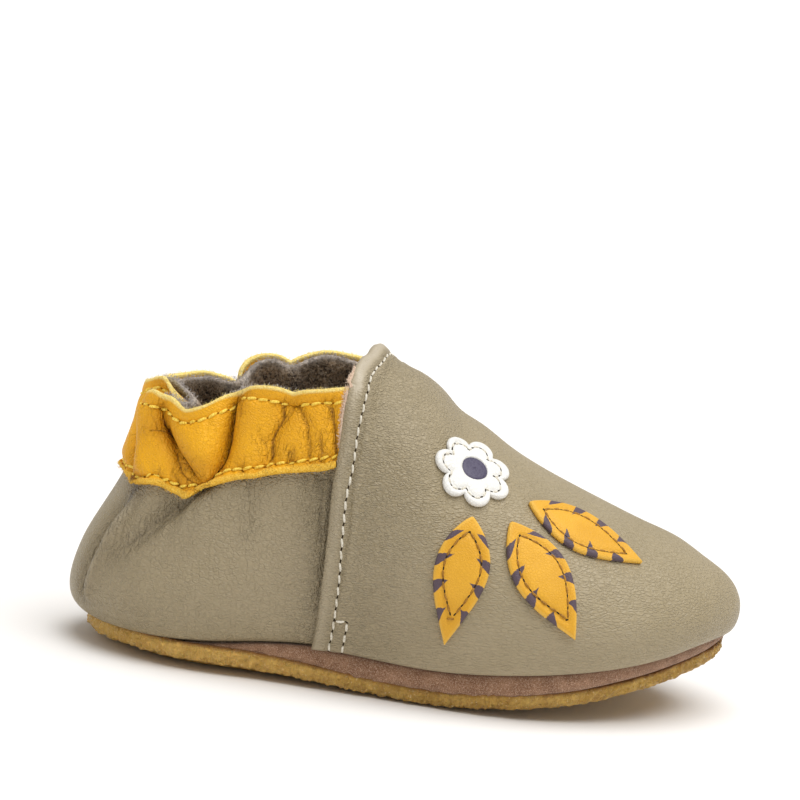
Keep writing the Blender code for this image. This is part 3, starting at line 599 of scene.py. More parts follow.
class Last:
    """The upper's outer surface over stations along the sole seam and heights up the meridians.

    Height runs from -1 at the seam to 0 at the cuff's lower edge and 1 at the rim.
    """

    def __init__(self):
        rows = [(row, -1.0) for row in LAST] + [(row, 1.0) for row in LAST[-2:0:-1]]
        lines = {}
        for part in ("seam", "swell", "shoulder", "rim"):
            places = [np.array(getattr(row, part), float) * (1.0, side, 1.0) for row, side in rows]
            lines[part] = np.array(places)
        chords = np.linalg.norm(np.roll(lines["seam"], -1, axis=0) - lines["seam"], axis=1)
        self.span = chords.sum()
        stations = np.concatenate([[0.0], np.cumsum(chords)[:-1]])
        outer = [row.name for row, side in rows].index("throat")
        inner = len(rows) - outer
        self.outer_throat = stations[outer]
        self.inner_throat = stations[inner]
        self.toe = stations[len(LAST) - 1]
        self.lower = [spline(stations, lines[part], self.span) for part in ("seam", "swell", "shoulder")]
        ahead = slice(outer, inner + 1)
        self.arch = spline(stations[ahead], lines["rim"][ahead])
        behind = np.r_[np.arange(inner, len(rows)), np.arange(0, outer + 1)]
        behind_stations = np.where(behind >= inner, stations[behind] - self.span, stations[behind])
        self.collar = spline(behind_stations, lines["rim"][behind])
        self.edge = spline(stations, np.array([[row.cuff_edge] for row, side in rows]), self.span)
        self.measure_rim()

    def wrapped(self, stations):
        return np.where(stations > self.inner_throat, stations - self.span, stations)

    def girth(self, stations):
        return np.where(stations > self.span / 2.0, stations - self.span, stations)

    def in_front(self, stations):
        return (stations >= self.outer_throat) & (stations <= self.inner_throat)

    def rim(self, stations):
        front = self.in_front(stations)
        return np.where(front[:, None], self.arch(stations), self.collar(self.wrapped(stations)))

    def meridian(self, control, share):
        a, b, c, d = control
        t = share[:, None]
        back = 1.0 - t
        return back ** 3 * a + 3 * back ** 2 * t * b + 3 * back * t ** 2 * c + t ** 3 * d

    def edge_share(self, control, stations):
        """Where each meridian passes the height of the cuff's lower edge."""
        height = self.edge(stations)[:, 0]
        low = np.zeros(len(stations))
        high = np.ones(len(stations))
        for halving in range(HALVINGS):
            middle = (low + high) / 2.0
            below = self.meridian(control, middle)[:, 2] < height
            low = np.where(below, middle, low)
            high = np.where(below, high, middle)
        return low

    def measure_rim(self):
        """Length along the collar rim from the back of the heel, for placing folds by their x."""
        self.rim_girth = np.linspace(-self.outer_throat, self.outer_throat, RIM_STEPS)
        line = self.rim(np.where(self.rim_girth < 0.0, self.rim_girth + self.span, self.rim_girth))
        lengths = lengths_along(line)
        self.rim_length = lengths - np.interp(0.0, self.rim_girth, lengths)
        self.rim_x = line[:, 0]

    def rim_place(self, side, x):
        """Length along the rim where the collar passes x; the outer side counts as positive."""
        here = self.rim_girth * -side >= 0.0
        order = np.argsort(self.rim_x[here])
        return np.interp(x, self.rim_x[here][order], self.rim_length[here][order])

    def grid(self, stations, heights):
        """Points, folds and creases included, for columns at stations and levels at heights.

        The normals are those of a smoothed surface, so that a sheet laid along them stays whole where a
        crease is sharp. The last value holds the fields for wrinkles, furrows, painted shade round folds and
        a painted highlight along sharp ridges, from 0 to 1.
        """
        control = [line(stations) for line in self.lower] + [self.rim(stations)]
        edge = self.edge_share(control, stations)
        levels = [edge * (1.0 + h) if h < 0.0 else edge + (1.0 - edge) * h for h in heights]
        points = np.stack([self.meridian(control, level) for level in levels], axis=1)
        points = points + self.gathers(stations, heights, grid_normals(points))
        shift, marks = self.creases(stations, heights, grid_normals(points))
        points = self.settle(stations, heights, points + shift)
        points = points + self.vamp_form(points)
        points[:, :, 1] += toe_swing(points[:, :, 0])
        soft = points
        for turn in range(NORMAL_BLUR):
            soft = 0.5 * soft + 0.25 * (np.roll(soft, 1, axis=0) + np.roll(soft, -1, axis=0))
        return points, grid_normals(soft), marks

    def settle(self, stations, heights, points):
        """Pull the collar's rim and the cuff's lower edge onto their courses."""
        heights = np.asarray(heights)
        girth = self.girth(stations)
        total = np.zeros_like(points)
        for course, height, below, above, closed in COURSES:
            table = course_places(course)
            first, last = table[0, 0], table[-1, 0]
            if closed:
                wanted = spline(table[:, 0], table[:, 1:], self.span)((girth - first) % self.span + first)
                hold = np.ones(len(girth))
            else:
                wanted = spline(table[:, 0], table[:, 1:])(np.clip(girth, first, last))
                hold = smooth_step((COURSE_END - np.abs(girth)) / COURSE_EASE)
            level = int(np.argmin(np.abs(heights - height)))
            pull = (wanted - points[:, level]) * hold[:, None]
            away = heights - height
            share = 1.0 - smooth_step(np.where(away < 0.0, -away / below, away / above))
            total += pull[:, None] * share[None, :, None]
        return points + total

    def vamp_form(self, points):
        """Shift of the vamp's back and of the dents in its toe."""
        normals = grid_normals(points)
        table = np.array(RIDGE)
        place = np.clip(points[:, :, 0], table[0, 0], table[-1, 0])
        rise = spline(table[:, 0], table[:, 1:])(place.ravel()).reshape(place.shape)
        shift = np.zeros_like(points)
        shift[:, :, 2] = rise * smooth_step(normals[:, :, 2] / RIDGE_FACING)
        for dent in DENTS:
            away = distance_to_line(points, dent.line)[0]
            shift -= (dent.depth * bump(away, dent.reach))[:, :, None] * normals
        return shift

    def gathers(self, stations, heights, normals):
        """Shift by the cuff's gathers, which fade out down the quarter."""
        girth = self.girth(stations)
        places = np.interp(girth, self.rim_girth, self.rim_length)
        heights = np.asarray(heights)
        tail = FOLD_TAIL * (np.clip(1.0 + heights, 0.0, 1.0) ** FOLD_TAIL_POWER - 1.0)
        height = np.where(heights < 0.0, tail, heights)
        growth = smooth_step((height + FOLD_REACH) / (FOLD_FULL + FOLD_REACH))
        behind = np.where(self.in_front(stations), 0.0, 1.0)
        shift = np.zeros_like(normals)
        for fold in CUFF_FOLDS:
            top = self.rim_place(fold.side, fold.top_x)
            foot = self.rim_place(fold.side, fold.foot_x)
            line = foot + (top - foot) * height
            trough = bump(places[:, None] - line[None, :], fold.width) * growth[None, :] * behind[:, None]
            shift -= fold.depth * trough[:, :, None] * normals
            shift[:, :, 2] -= trough * np.clip(height, 0.0, 1.0)[None, :] * fold.drop
        return shift

    def creases(self, stations, heights, normals):
        """Shift by the creases of cuff and quarter, and fields for their wrinkles, furrows, painted shade and
        painted highlights.
        """
        heights = np.asarray(heights)
        rise = np.where(heights < 0.0, heights * QUARTER_HEIGHT, heights * CUFF_HEIGHT)
        flat = np.stack(np.meshgrid(self.girth(stations), rise, indexing="ij"), axis=2)
        behind = np.where(self.in_front(stations), 0.0, 1.0)[:, None]
        depth = np.zeros(flat.shape[:2])
        wrinkled = np.zeros(flat.shape[:2])
        furrow = np.zeros(flat.shape[:2])
        fold_shade = np.zeros(flat.shape[:2])
        rub = np.zeros(flat.shape[:2])
        for crease in CREASES + puckers():
            line = [(girth, h * (QUARTER_HEIGHT if h < 0.0 else CUFF_HEIGHT)) for girth, h in crease.path]
            away, along = distance_to_line(flat, line)
            trough = np.exp(-(away / crease.width) ** crease.edge) * behind
            depth += trough * (crease.depth + (crease.tail - crease.depth) * along)
            if crease.depth > 0.0:
                strength = min(1.0, WRINKLED_LEAST + crease.furrow)
                reach = crease.width * WRINKLED_SPREAD + WRINKLED_REACH
                wrinkled = np.maximum(wrinkled, strength * bump(away, reach) * behind)
                # Painted shade round a fold.
                share = min(1.0, crease.depth / FOLD_SHADE_FULL) * min(1.0, crease.furrow * 2.0)
                fold_shade = fold_shade + share * bump(away, FOLD_SHADE_REACH) * behind
            ends = smooth_step(along / FURROW_START) * smooth_step((1.0 - along) / FURROW_STOP)
            # A painted highlight along a sharp ridge.
            if crease.depth < 0.0 and crease.edge < 2.0:
                rub = np.maximum(rub, CREST_HIGHLIGHT * bump(away, CREST_WIDTH) * ends * behind)
            # The furrow also carries a dark line of painted shade along the crease's bottom.
            width = FURROW_WIDTH + FURROW_SPREAD * max(crease.depth, 0.0)
            furrow = np.maximum(furrow, crease.furrow * bump(away, width) * ends * behind)
        shift = -(depth + FURROW_DEPTH * furrow)[:, :, None] * normals
        fold_shade = np.minimum(fold_shade, 1.0)
        return shift, {"wrinkled": wrinkled, "furrow": furrow, "fold_shade": fold_shade, "rub": rub}


def outward(points, normals, distance):
    return points + normals * np.asarray(distance)[..., None]


def lengths_up(points):
    """Length along each meridian from its lower end."""
    steps = np.linalg.norm(np.diff(points, axis=1), axis=2)
    return np.concatenate([np.zeros((len(points), 1)), np.cumsum(steps, axis=1)], axis=1)


def lowered(points, drops):
    """Meridians whose upper ends stop short of the rim by their drop."""
    climb = lengths_up(points)
    total = climb[:, -1:]
    wanted = climb - drops[:, None] * smooth_step((climb - total + ARCH_EASE) / ARCH_EASE)
    moved = points.copy()
    for column in np.flatnonzero(drops):
        for axis in range(3):
            moved[column, :, axis] = np.interp(wanted[column], climb[column], points[column, :, axis])
    return moved


def rounded(outer, inner, share):
    """Offsets of a sheet's two skins, closing on their middle as share falls from 1 to 0 at an edge."""
    swell = np.sqrt(1.0 - (1.0 - np.clip(share, 0.0, 1.0)) ** 2)
    middle = (outer + inner) / 2.0
    half = (outer - inner) / 2.0 * swell
    return middle + half, middle - half


def sheet_faces(columns, levels, closed):
    """Quads over two grids that lie on each other: outer skin, inner skin, then the joining strips."""
    index = np.arange(columns * levels).reshape(columns, levels)
    here = index if closed else index[:-1]
    ahead = np.roll(index, -1, axis=0) if closed else index[1:]
    lift = columns * levels
    skin = np.stack([here[:, :-1], ahead[:, :-1], ahead[:, 1:], here[:, 1:]], axis=-1).reshape(-1, 4)
    foot = np.stack([ahead[:, 0], here[:, 0], here[:, 0] + lift, ahead[:, 0] + lift], axis=-1)
    top = np.stack([here[:, -1], ahead[:, -1], ahead[:, -1] + lift, here[:, -1] + lift], axis=-1)
    groups = [skin, skin[:, ::-1] + lift, foot, top]
    if not closed:
        first, last = index[0], index[-1]
        groups.append(np.stack([first[:-1], first[1:], first[1:] + lift, first[:-1] + lift], axis=-1))
        groups.append(np.stack([last[1:], last[:-1], last[:-1] + lift, last[1:] + lift], axis=-1))
    return groups


def ring_faces(count, rings):
    """Quads between closed rings of count points each, from the first ring to the last."""
    index = np.arange(count * rings).reshape(rings, count)
    ahead = np.roll(index, -1, axis=1)
    return np.stack([index[:-1], ahead[:-1], ahead[1:], index[1:]], axis=-1).reshape(-1, 4)


def cap_faces(count, first, flip):
    """Strips across a closed ring that is symmetric about its first point."""
    near = np.arange(count // 2)
    strips = np.stack([near, near + 1, count - near - 1, (count - near) % count], axis=-1) + first
    return strips[:, ::-1] if flip else strips


def weld(mesh):
    """Join points that share a place and drop the faces that collapse there."""
    shape = bmesh.new()
    shape.from_mesh(mesh)
    bmesh.ops.remove_doubles(shape, verts=shape.verts, dist=WELD_DISTANCE)
    shape.to_mesh(mesh)
    shape.free()


def add_piece(name, points, groups, finishes, node=None, fields=None):
    """A piece of the shoe from points in the table's frame; each group of faces takes its own finish."""
    mesh = bpy.data.meshes.new(name)
    places = np.asarray(points).reshape(-1, 3) * MM + TABLE_ORIGIN
    faces = [tuple(dict.fromkeys(face)) for group in groups for face in group.tolist()]
    mesh.from_pydata(places.tolist(), [], faces)
    kinds = list(dict.fromkeys(finishes))
    for kind in kinds:
        mesh.materials.append(kind)
    turns = [np.full(len(group), kinds.index(finish)) for group, finish in zip(groups, finishes)]
    mesh.polygons.foreach_set("material_index", np.concatenate(turns).astype(np.int32))
    for label, values in (fields or {}).items():
        layer = mesh.attributes.new(label, "FLOAT", "POINT")
        layer.data.foreach_set("value", np.asarray(values, np.float32).ravel())
    weld(mesh)
    mesh.shade_smooth()
    piece = bpy.data.objects.new(name, mesh)
    bpy.context.collection.objects.link(piece)
    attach(piece, "root")
    if node:
        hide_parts(node)
    return piece


def add_sheet(name, outer, inner, closed, finishes, node=None, fields=None):
    """A sheet between two grids; finishes are for the outer skin, the inner skin and the edges."""
    groups = sheet_faces(*outer.shape[:2], closed)
    skins = [finishes[0], finishes[1]] + [finishes[2]] * (len(groups) - 2)
    doubled = {label: np.stack([values, values]) for label, values in (fields or {}).items()}
    return add_piece(name, np.stack([outer, inner]), groups, skins, node, doubled)


class Surface:
    """A grid's outer side, for laying seams and patches on it."""

    def __init__(self, grid, closed=False):
        faces = sheet_faces(*grid.shape[:2], closed)[0]
        self.tree = BVHTree.FromPolygons(grid.reshape(-1, 3).tolist(), faces.tolist())

    def nearest(self, points):
        """The nearest places on the surface and its normals there."""
        found = [self.tree.find_nearest(Vector(point)) for point in points]
        return np.array([hit[0] for hit in found]), np.array([hit[1] for hit in found])

    def lay(self, forward, rise):
        """Places and normals of a drawing on the patch plane, dropped on the surface."""
        spots = np.zeros(forward.shape + (3,))
        normals = np.zeros_like(spots)
        for index in np.ndindex(forward.shape):
            start = PATCH_AHEAD * forward[index] + PATCH_UP * rise[index] + PATCH_VIEW * PATCH_FAR
            spot, normal = self.tree.ray_cast(start, -PATCH_VIEW)[:2]
            if spot is None:
                spot, normal = self.tree.ray_cast(start + RAY_NUDGE, -PATCH_VIEW)[:2]
            spots[index] = spot
            normals[index] = normal
        return spots, normals


class Value:
    """A number that varies over a surface; arithmetic on it adds Math nodes to its finish."""

    def __init__(self, finish, socket):
        self.finish = finish
        self.socket = socket

    def math(self, operation, *terms):
        return self.finish.add("ShaderNodeMath", {"operation": operation}, dict(enumerate(terms)))

    def __add__(self, other):
        return self.math("ADD", self, other)

    def __sub__(self, other):
        return self.math("SUBTRACT", self, other)

    def __rsub__(self, other):
        return self.math("SUBTRACT", other, self)

    def __mul__(self, other):
        return self.math("MULTIPLY", self, other)

    def __abs__(self):
        return self.math("ABSOLUTE", self)

    __radd__ = __add__
    __rmul__ = __mul__

    def fraction(self):
        return self.math("FRACT", self)

    def rise(self, low, high):
        """0 below low and 1 above high, eased between them; low may be the greater."""
        sockets = {"Value": self, "From Min": low, "From Max": high}
        return self.finish.add("ShaderNodeMapRange", {"interpolation_type": "SMOOTHSTEP"}, sockets)


EVEN = (1.0, 1.0, 1.0)     # a pattern's stretch along the shoe's axes


class Finish:
    """A material written as fields over the surface, with lengths in millimetres."""

    def __init__(self, name):
        self.material = bpy.data.materials.new(name)
        self.material.use_nodes = True
        self.tree = self.material.node_tree
        self.shader = self.tree.nodes["Principled BSDF"]

    def add(self, kind, settings=None, sockets=None, output=0):
        """A node of a kind, with its settings first and then its sockets' values or links."""
        node = self.tree.nodes.new(kind)
        for key, setting in (settings or {}).items():
            setattr(node, key, setting)
        for key, given in (sockets or {}).items():
            self.feed(node.inputs[key], given)
        return Value(self, node.outputs[output])

    def feed(self, socket, given):
        if isinstance(given, Value):
            self.tree.links.new(given.socket, socket)
        elif socket.type == "RGBA":
            socket.default_value = (*given, 1.0)
        else:
            socket.default_value = given

    def mix(self, share, first, second):
        """Colour between first and second."""
        return self.add("ShaderNodeMix", {"data_type": "RGBA"}, {0: share, 6: first, 7: second}, 2)

    def field(self, label):
        """A field that the piece's mesh carries."""
        return self.add("ShaderNodeAttribute", {"attribute_name": label}, None, "Fac")

    def place(self, stretch=EVEN):
        """Place on the shoe in millimetres, stretched along its axes."""
        spot = self.add("ShaderNodeTexCoord", None, None, "Object")
        factor = tuple(axis / MM for axis in stretch)
        return self.add("ShaderNodeVectorMath", {"operation": "MULTIPLY"}, {0: spot, 1: factor})

    def noise(self, size, detail=2.0, rough=0.5, stretch=EVEN):
        """Cloudy field from 0 to 1 with lumps of a size."""
        sockets = {"Vector": self.place(stretch), "Scale": 1.0 / size, "Detail": detail, "Roughness": rough}
        return self.add("ShaderNodeTexNoise", None, sockets)

    def cells(self, size, warp, stretch=EVEN):
        """Distance to the borders of cells of a size, which warp bends."""
        spot = self.place(stretch)
        sway = self.add("ShaderNodeTexNoise", None, {"Vector": spot, "Scale": 0.6 / size}, "Color")
        far = self.add("ShaderNodeVectorMath", {"operation": "SCALE"}, {0: sway, "Scale": warp * size})
        spot = self.add("ShaderNodeVectorMath", {"operation": "ADD"}, {0: spot, 1: far})
        sockets = {"Vector": spot, "Scale": 1.0 / size}
        return self.add("ShaderNodeTexVoronoi", {"feature": "DISTANCE_TO_EDGE"}, sockets)

    def bump(self, height, depth):
        """Normal bent by a height field whose full range is depth millimetres."""
        sockets = {"Strength": 1.0, "Distance": depth * MM, "Height": height}
        return self.add("ShaderNodeBump", None, sockets)

    def done(self, **sockets):
        """Set the shader's sockets, named with underscores for spaces, and give the material."""
        for label, given in sockets.items():
            self.feed(self.shader.inputs[label.replace("_", " ")], given)
        return self.material


def crease_marks(finish, tone, height, deep, dark, depth):
    """Painted shade round folds, a net of fine wrinkles beside them, darkened with painted shade, and dark
    furrows of painted shade along them.

    depth, from 0 to 1, is how far the painted shade round folds and in the wrinkles darkens the colour.
    """
    furrow = finish.field("furrow")
    wrinkled = finish.field("wrinkled")
    fold_shade = finish.field("fold_shade")
    upright = abs(finish.noise(1.5, 1.5, 0.5, (1.3, 1.3, 0.5)) - 0.5).rise(0.075, 0.0)
    net = finish.cells(1.7, warp=1.3, stretch=(1.3, 1.3, 0.7)).rise(0.12, 0.0)
    fine = (upright * 0.8 + net * 0.5) * wrinkled
    ragged = furrow + (finish.noise(0.45, 3.0, 0.6) - 0.5) * furrow * 0.9
    # Painted shade round folds, in the fine wrinkles and along the furrows.
    tone = finish.mix(fold_shade * depth, tone, deep)
    tone = finish.mix(fine * (0.1 + depth * 0.55), tone, finish.mix(0.4, deep, dark))
    tone = finish.mix(ragged.rise(0.15, 0.7) * 0.94, tone, dark)
    return tone, height - fine * 2.6 - furrow * 1.5


def sage_nappa(name, grain, stretch):
    """Grey green nappa with a soft sheen; grain is the size of its pebbles."""
    finish = Finish(name)
    pebble = finish.cells(grain, warp=0.9, stretch=stretch).rise(0.0, 0.25)
    fine = finish.noise(0.3, 3.0, 0.6, stretch)
    soft = finish.noise(2.6, 2.0, 0.5, stretch)
    cloud = finish.noise(17.0, 3.0).rise(0.3, 0.7)
    rub = finish.field("rub")
    pull = finish.field("pull")
    ripples = finish.cells(0.6, warp=1.1, stretch=(0.55, 0.65, 1.25)).rise(0.0, 0.28)
    tone = finish.mix(cloud, (0.332, 0.268, 0.157), (0.363, 0.295, 0.179))
    # Painted shade in the valleys of the pulled ripples, and a little darker grain between the pebbles.
    tone = finish.mix((1 - pebble) * 0.07 + (1 - ripples) * pull * 0.14, tone, (0.18, 0.14, 0.08))
    # Paler along sharp ridges and over the vamp's hem: a painted highlight, partly wear on the hem.
    tone = finish.mix(rub * 0.45, tone, (0.50, 0.435, 0.33))
    height = (pebble * 0.8 + fine * 0.4 + soft * 0.35 + ripples * pull * 1.2) * (1 - rub * 0.75)
    # Painted shade round the folds, in their wrinkles and along their furrows.
    tone, height = crease_marks(finish, tone, height, (0.21, 0.163, 0.093), (0.085, 0.062, 0.035), 0.30)
    gloss = 0.40 + fine * 0.16 - pebble * 0.05
    return finish.done(Base_Color=tone, Roughness=gloss, Normal=finish.bump(height, 0.16),
                       Specular_IOR_Level=0.5, Coat_Weight=0.12, Coat_Roughness=0.38)


def mustard_nappa(name, grain):
    """Mustard nappa, woolly where its fields say it was cut: pale at the rim, deep gold at the lip."""
    finish = Finish(name)
    pebble = finish.cells(grain, warp=0.9).rise(0.0, 0.25)
    fine = finish.noise(0.3, 3.0, 0.6)
    soft = finish.noise(2.4, 2.0)
    cloud = finish.noise(9.0, 3.0).rise(0.3, 0.7)
    raw = finish.field("raw")
    lip = finish.field("lip")
    wool = finish.noise(0.35, 4.0, 0.75)
    tone = finish.mix(cloud, (0.895, 0.434, 0.003), (0.950, 0.478, 0.006))
    tone = finish.mix((1 - pebble) * 0.08, tone, (0.42, 0.165, 0.002))
    ripples = finish.cells(1.1, warp=1.2, stretch=(0.8, 0.8, 1.2)).rise(0.0, 0.30)
    tone = finish.mix((1 - ripples) * 0.07, tone, (0.52, 0.20, 0.002))
    height = pebble * 0.5 + fine * 0.3 + soft * 0.7 + ripples * 0.45
    # Painted shade round the cuff's folds, in their wrinkles and along their furrows.
    tone, height = crease_marks(finish, tone, height, (0.56, 0.225, 0.002), (0.135, 0.036, 0.002), 0.54)
    gold = finish.mix(wool.rise(0.35, 0.65), (0.76, 0.390, 0.016), (0.95, 0.60, 0.09))
    tone = finish.mix(lip, tone, gold)
    pale = finish.mix(wool.rise(0.3, 0.6), (0.90, 0.60, 0.10), (1.0, 0.82, 0.31))
    tone = finish.mix(raw, tone, pale)
    cut = raw + lip
    height = height + wool * cut * 1.5
    gloss = 0.46 + fine * 0.14 + cut * 0.4
    return finish.done(Base_Color=tone, Roughness=gloss, Normal=finish.bump(height, 0.15),
                       Specular_IOR_Level=0.36, Coat_Weight=0.03, Coat_Roughness=0.4)


def suede(name, deep, pale, fleck, nap, edge=None, edge_tone=None):
    """Brushed suede: short nap in clouds of two tones with flecks; edge names a field of another tone."""
    finish = Finish(name)
    fibre = finish.noise(nap, 4.0, 0.75)
    brushed = finish.noise(2.6, 4.0, 0.65)
    speck = finish.noise(nap * 1.1, 2.0, 0.6).rise(0.53, 0.64)
    tone = finish.mix((fibre * 0.65 + brushed * 0.35).rise(0.40, 0.60), deep, pale)
    tone = finish.mix(speck * 0.55, tone, fleck)
    if edge:
        tone = finish.mix(finish.field(edge) * (0.35 + fibre.rise(0.38, 0.62) * 0.65), tone, edge_tone)
    height = fibre * 0.9 + brushed * 0.5
    return finish.done(Base_Color=tone, Roughness=0.94, Normal=finish.bump(height, 0.3),
                       Specular_IOR_Level=0.15, Sheen_Weight=0.25, Sheen_Roughness=0.5)


def crepe_rubber():
    """Honey crepe: glassy lumps, darker streaks, and a brown glue line along its top edge."""
    finish = Finish("honey_crepe")
    crinkle = finish.cells(1.6, warp=1.6).rise(0.0, 0.35)
    lump = finish.noise(1.0, 4.0, 0.7).rise(0.32, 0.68)
    cloud = finish.noise(6.0, 3.0).rise(0.3, 0.7)
    streak = finish.noise(1.2, 3.0, 0.6, (1.0, 1.0, 0.25)).rise(0.40, 0.66)
    bright = finish.noise(0.55, 2.0).rise(0.64, 0.72)
    glue = finish.field("glue")
    tone = finish.mix(cloud, (0.61, 0.365, 0.072), (0.79, 0.520, 0.130))
    tone = finish.mix((1 - crinkle) * 0.18 + (1 - lump) * 0.36 + streak * 0.30, tone, (0.33, 0.160, 0.026))
    tone = finish.mix(bright * 0.6, tone, (0.88, 0.72, 0.42))
    # Painted light: paler and warmer towards the heel, where more light falls.
    tone = finish.mix(finish.field("heel") * 0.45, tone, (0.90, 0.56, 0.14))
    tone = finish.mix(glue * 0.85, tone, (0.23, 0.082, 0.015))
    height = crinkle * 0.3 + lump * 0.8 + streak * 0.5
    return finish.done(Base_Color=tone, Roughness=0.26 + lump * 0.2, Normal=finish.bump(height, 0.5),
                       Subsurface_Weight=0.25, Subsurface_Radius=(0.002, 0.0012, 0.0005),
                       Specular_IOR_Level=0.5)


def thread(name, colour, shade):
    """Twisted sewing thread."""
    finish = Finish(name)
    ply = finish.noise(0.22, 2.0, 0.5, (1.0, 1.0, 0.5))
    tone = finish.mix(ply.rise(0.35, 0.65), shade, colour)
    return finish.done(Base_Color=tone, Roughness=0.6 + ply * 0.15, Normal=finish.bump(ply, 0.08),
                       Specular_IOR_Level=0.3)


def smooth_leather(name, colour, shade, roughness):
    """Finished leather of one colour with a faint grain."""
    finish = Finish(name)
    pebble = finish.cells(0.7, warp=0.8).rise(0.0, 0.25)
    fine = finish.noise(0.25, 3.0)
    tone = finish.mix((1 - pebble) * 0.5 + fine * 0.3, colour, shade)
    return finish.done(Base_Color=tone, Roughness=roughness + fine * 0.12, Specular_IOR_Level=0.4,
                       Normal=finish.bump(pebble * 0.6 + fine * 0.4, 0.05))


def veined_leather():
    """Mustard leather of the leaves, with navy veins drawn on it from the mesh fields along and across."""
    finish = Finish("veined_mustard")
    pebble = finish.cells(0.55, warp=0.9).rise(0.0, 0.24)
    fine = finish.noise(0.3, 3.0, 0.6)
    cloud = finish.noise(7.0, 3.0).rise(0.3, 0.7)
    along = finish.field("along")
    aside = abs(finish.field("across"))
    ragged = finish.noise(0.5, 2.0) - 0.5
    step = (along * LEAF_VEINS - aside * VEIN_SLANT).fraction()
    width = aside.rise(0.30, 0.95) * VEIN_WIDTH + ragged * 0.10
    wedge = (width - abs(step - 0.5)).rise(0.0, 0.03) * aside.rise(0.36, 0.42)
    wedge = wedge * along.rise(0.10, 0.13) * along.rise(0.93, 0.90)
    tone = finish.mix(cloud, (0.690, 0.345, 0.014), (0.765, 0.398, 0.024))
    tone = finish.mix((1 - pebble) * 0.12, tone, (0.46, 0.20, 0.008))
    tone = finish.mix(finish.field("raw"), tone, (0.80, 0.46, 0.06))
    tone = finish.mix(wedge * 0.94, tone, (0.052, 0.042, 0.085))
    height = pebble * 0.5 + fine * 0.35
    return finish.done(Base_Color=tone, Roughness=0.48 + fine * 0.12, Normal=finish.bump(height, 0.08),
                       Specular_IOR_Level=0.42)


def needle_hole(name, deep, shade):
    """Dent where the needle went in, dark with painted shade of the hole."""
    finish = Finish(name)
    tone = finish.mix(finish.noise(0.3), deep, shade)
    return finish.done(Base_Color=tone, Roughness=0.9, Specular_IOR_Level=0.1)


def loose_fibre(name, colour):
    """Fibre too thin to show more than one tone."""
    finish = Finish(name)
    return finish.done(Base_Color=colour, Roughness=0.8, Specular_IOR_Level=0.2)


def floor_paper():
    """White paper with a faint cloud."""
    finish = Finish("floor_paper")
    tone = finish.mix(finish.noise(60.0), (0.855, 0.838, 0.82), (0.87, 0.853, 0.837))
    return finish.done(Base_Color=tone, Roughness=0.9, Specular_IOR_Level=0.1)


def soften(points, normals, middle):
    """Average normals round a place where the leather turns a corner."""
    away = np.linalg.norm(points - middle, axis=-1)
    near = away < CORNER_REACH
    gaps = np.linalg.norm(points[near][:, None] - points[near][None], axis=-1)
    mean = unit(bump(gaps, CORNER_BLUR) @ normals[near])
    share = (1.0 - smooth_step(away[near] / CORNER_REACH))[:, None]
    normals[near] = unit(normals[near] * (1.0 - share) + mean * share)


def both_sides(last, front):
    """Stations all round, from those of the outer side's front, which run from the throat to the toe."""
    rear = np.linspace(0.0, last.outer_throat, REAR_COLUMNS, endpoint=False)
    half = np.concatenate([rear, front])
    return np.concatenate([half, (last.span - half[1:-1])[::-1]])


class Shoe:
    """The dressed shoe's fine grid: rear columns, then the front ones from the throat to the toe."""

    def __init__(self, last):
        self.last = last
        front = graded(last.toe - last.outer_throat, FINE_STEP, COARSE_STEP, FINE_HOLD, FINE_EASE)
        self.stations = both_sides(last, last.outer_throat + front)
        self.outer = REAR_COLUMNS
        self.inner = len(self.stations) - REAR_COLUMNS
        lower = np.linspace(-1.0, 0.0, QUARTER_LEVELS, endpoint=False)
        lip = np.linspace(0.0, LIP_TOP, LIP_LEVELS, endpoint=False)
        middle = np.linspace(LIP_TOP, RIM_FOOT, CUFF_LEVELS, endpoint=False)
        rim = np.linspace(RIM_FOOT, 1.0, RIM_LEVELS)
        self.heights = np.concatenate([lower, lip, middle, rim])
        self.points, self.normals, self.marks = last.grid(self.stations, self.heights)
        for corner in (self.outer, self.inner):
            soften(self.points, self.normals, self.points[corner, -1])
        self.front = np.arange(self.outer, self.inner + 1)
        self.rear = np.r_[np.arange(self.inner, len(self.stations)), np.arange(0, self.outer + 1)]

    def throat_edge(self, values):
        """Values along the vamp's rear edge: up the outer side, over the arch and down the inner side."""
        return np.concatenate([values[self.outer], values[self.front[1:-1], -1], values[self.inner, ::-1]])

    def hem(self):
        """The vamp's rear edge in even steps, its normals and the way back from it."""
        edge = self.throat_edge(self.points)
        places = np.arange(0.0, path_length(edge), HEM_STEP)
        normals = unit(along_path(edge, places, self.throat_edge(self.normals)))
        edge = along_path(edge, places)
        back = eased(np.cross(normals, np.gradient(edge, axis=0)))
        return places, edge, normals, unit(back)


def make_upper(shoe, sage, lining):
    """Hollow body: sage quarter outside, suede lining inside and over the rim."""
    last = shoe.last
    stations = both_sides(last, np.linspace(last.outer_throat, last.toe, WALL_FRONT_COLUMNS))
    points, normals, marks = last.grid(stations, shoe.heights)
    past_throat = last.toe - last.outer_throat - np.abs(stations - last.toe)
    points = lowered(points, ARCH_DROP * smooth_step(past_throat / ARCH_LETS_GO))
    climb = lengths_up(points)
    below = climb[:, -1:] - climb
    tuck = SEAM_TUCK * (1.0 - smooth_step(climb / SEAM_TUCK_REACH))
    share = np.minimum(LEAST_ROUND + climb / WALL_FOOT_ROUND, below / WALL_RIM_ROUND)
    outer, inner = rounded(-tuck, -WALL_THICK, share)
    behind_hem = last.outer_throat - np.abs(last.girth(stations))
    pull = 0.5 + 0.6 * (1.0 - smooth_step(np.abs(behind_hem) / PULL_REACH))
    pull = np.broadcast_to(pull[:, None], climb.shape)
    # rim: painted light on the lining, paler towards the collar's opening.
    fields = dict(marks, pull=pull, rim=smooth_step(1.2 - below / RIM_LIT_DEPTH))
    return add_sheet("upper_shell", outward(points, normals, outer), outward(points, normals, inner), True,
                     (sage, lining, lining), "upper", fields)


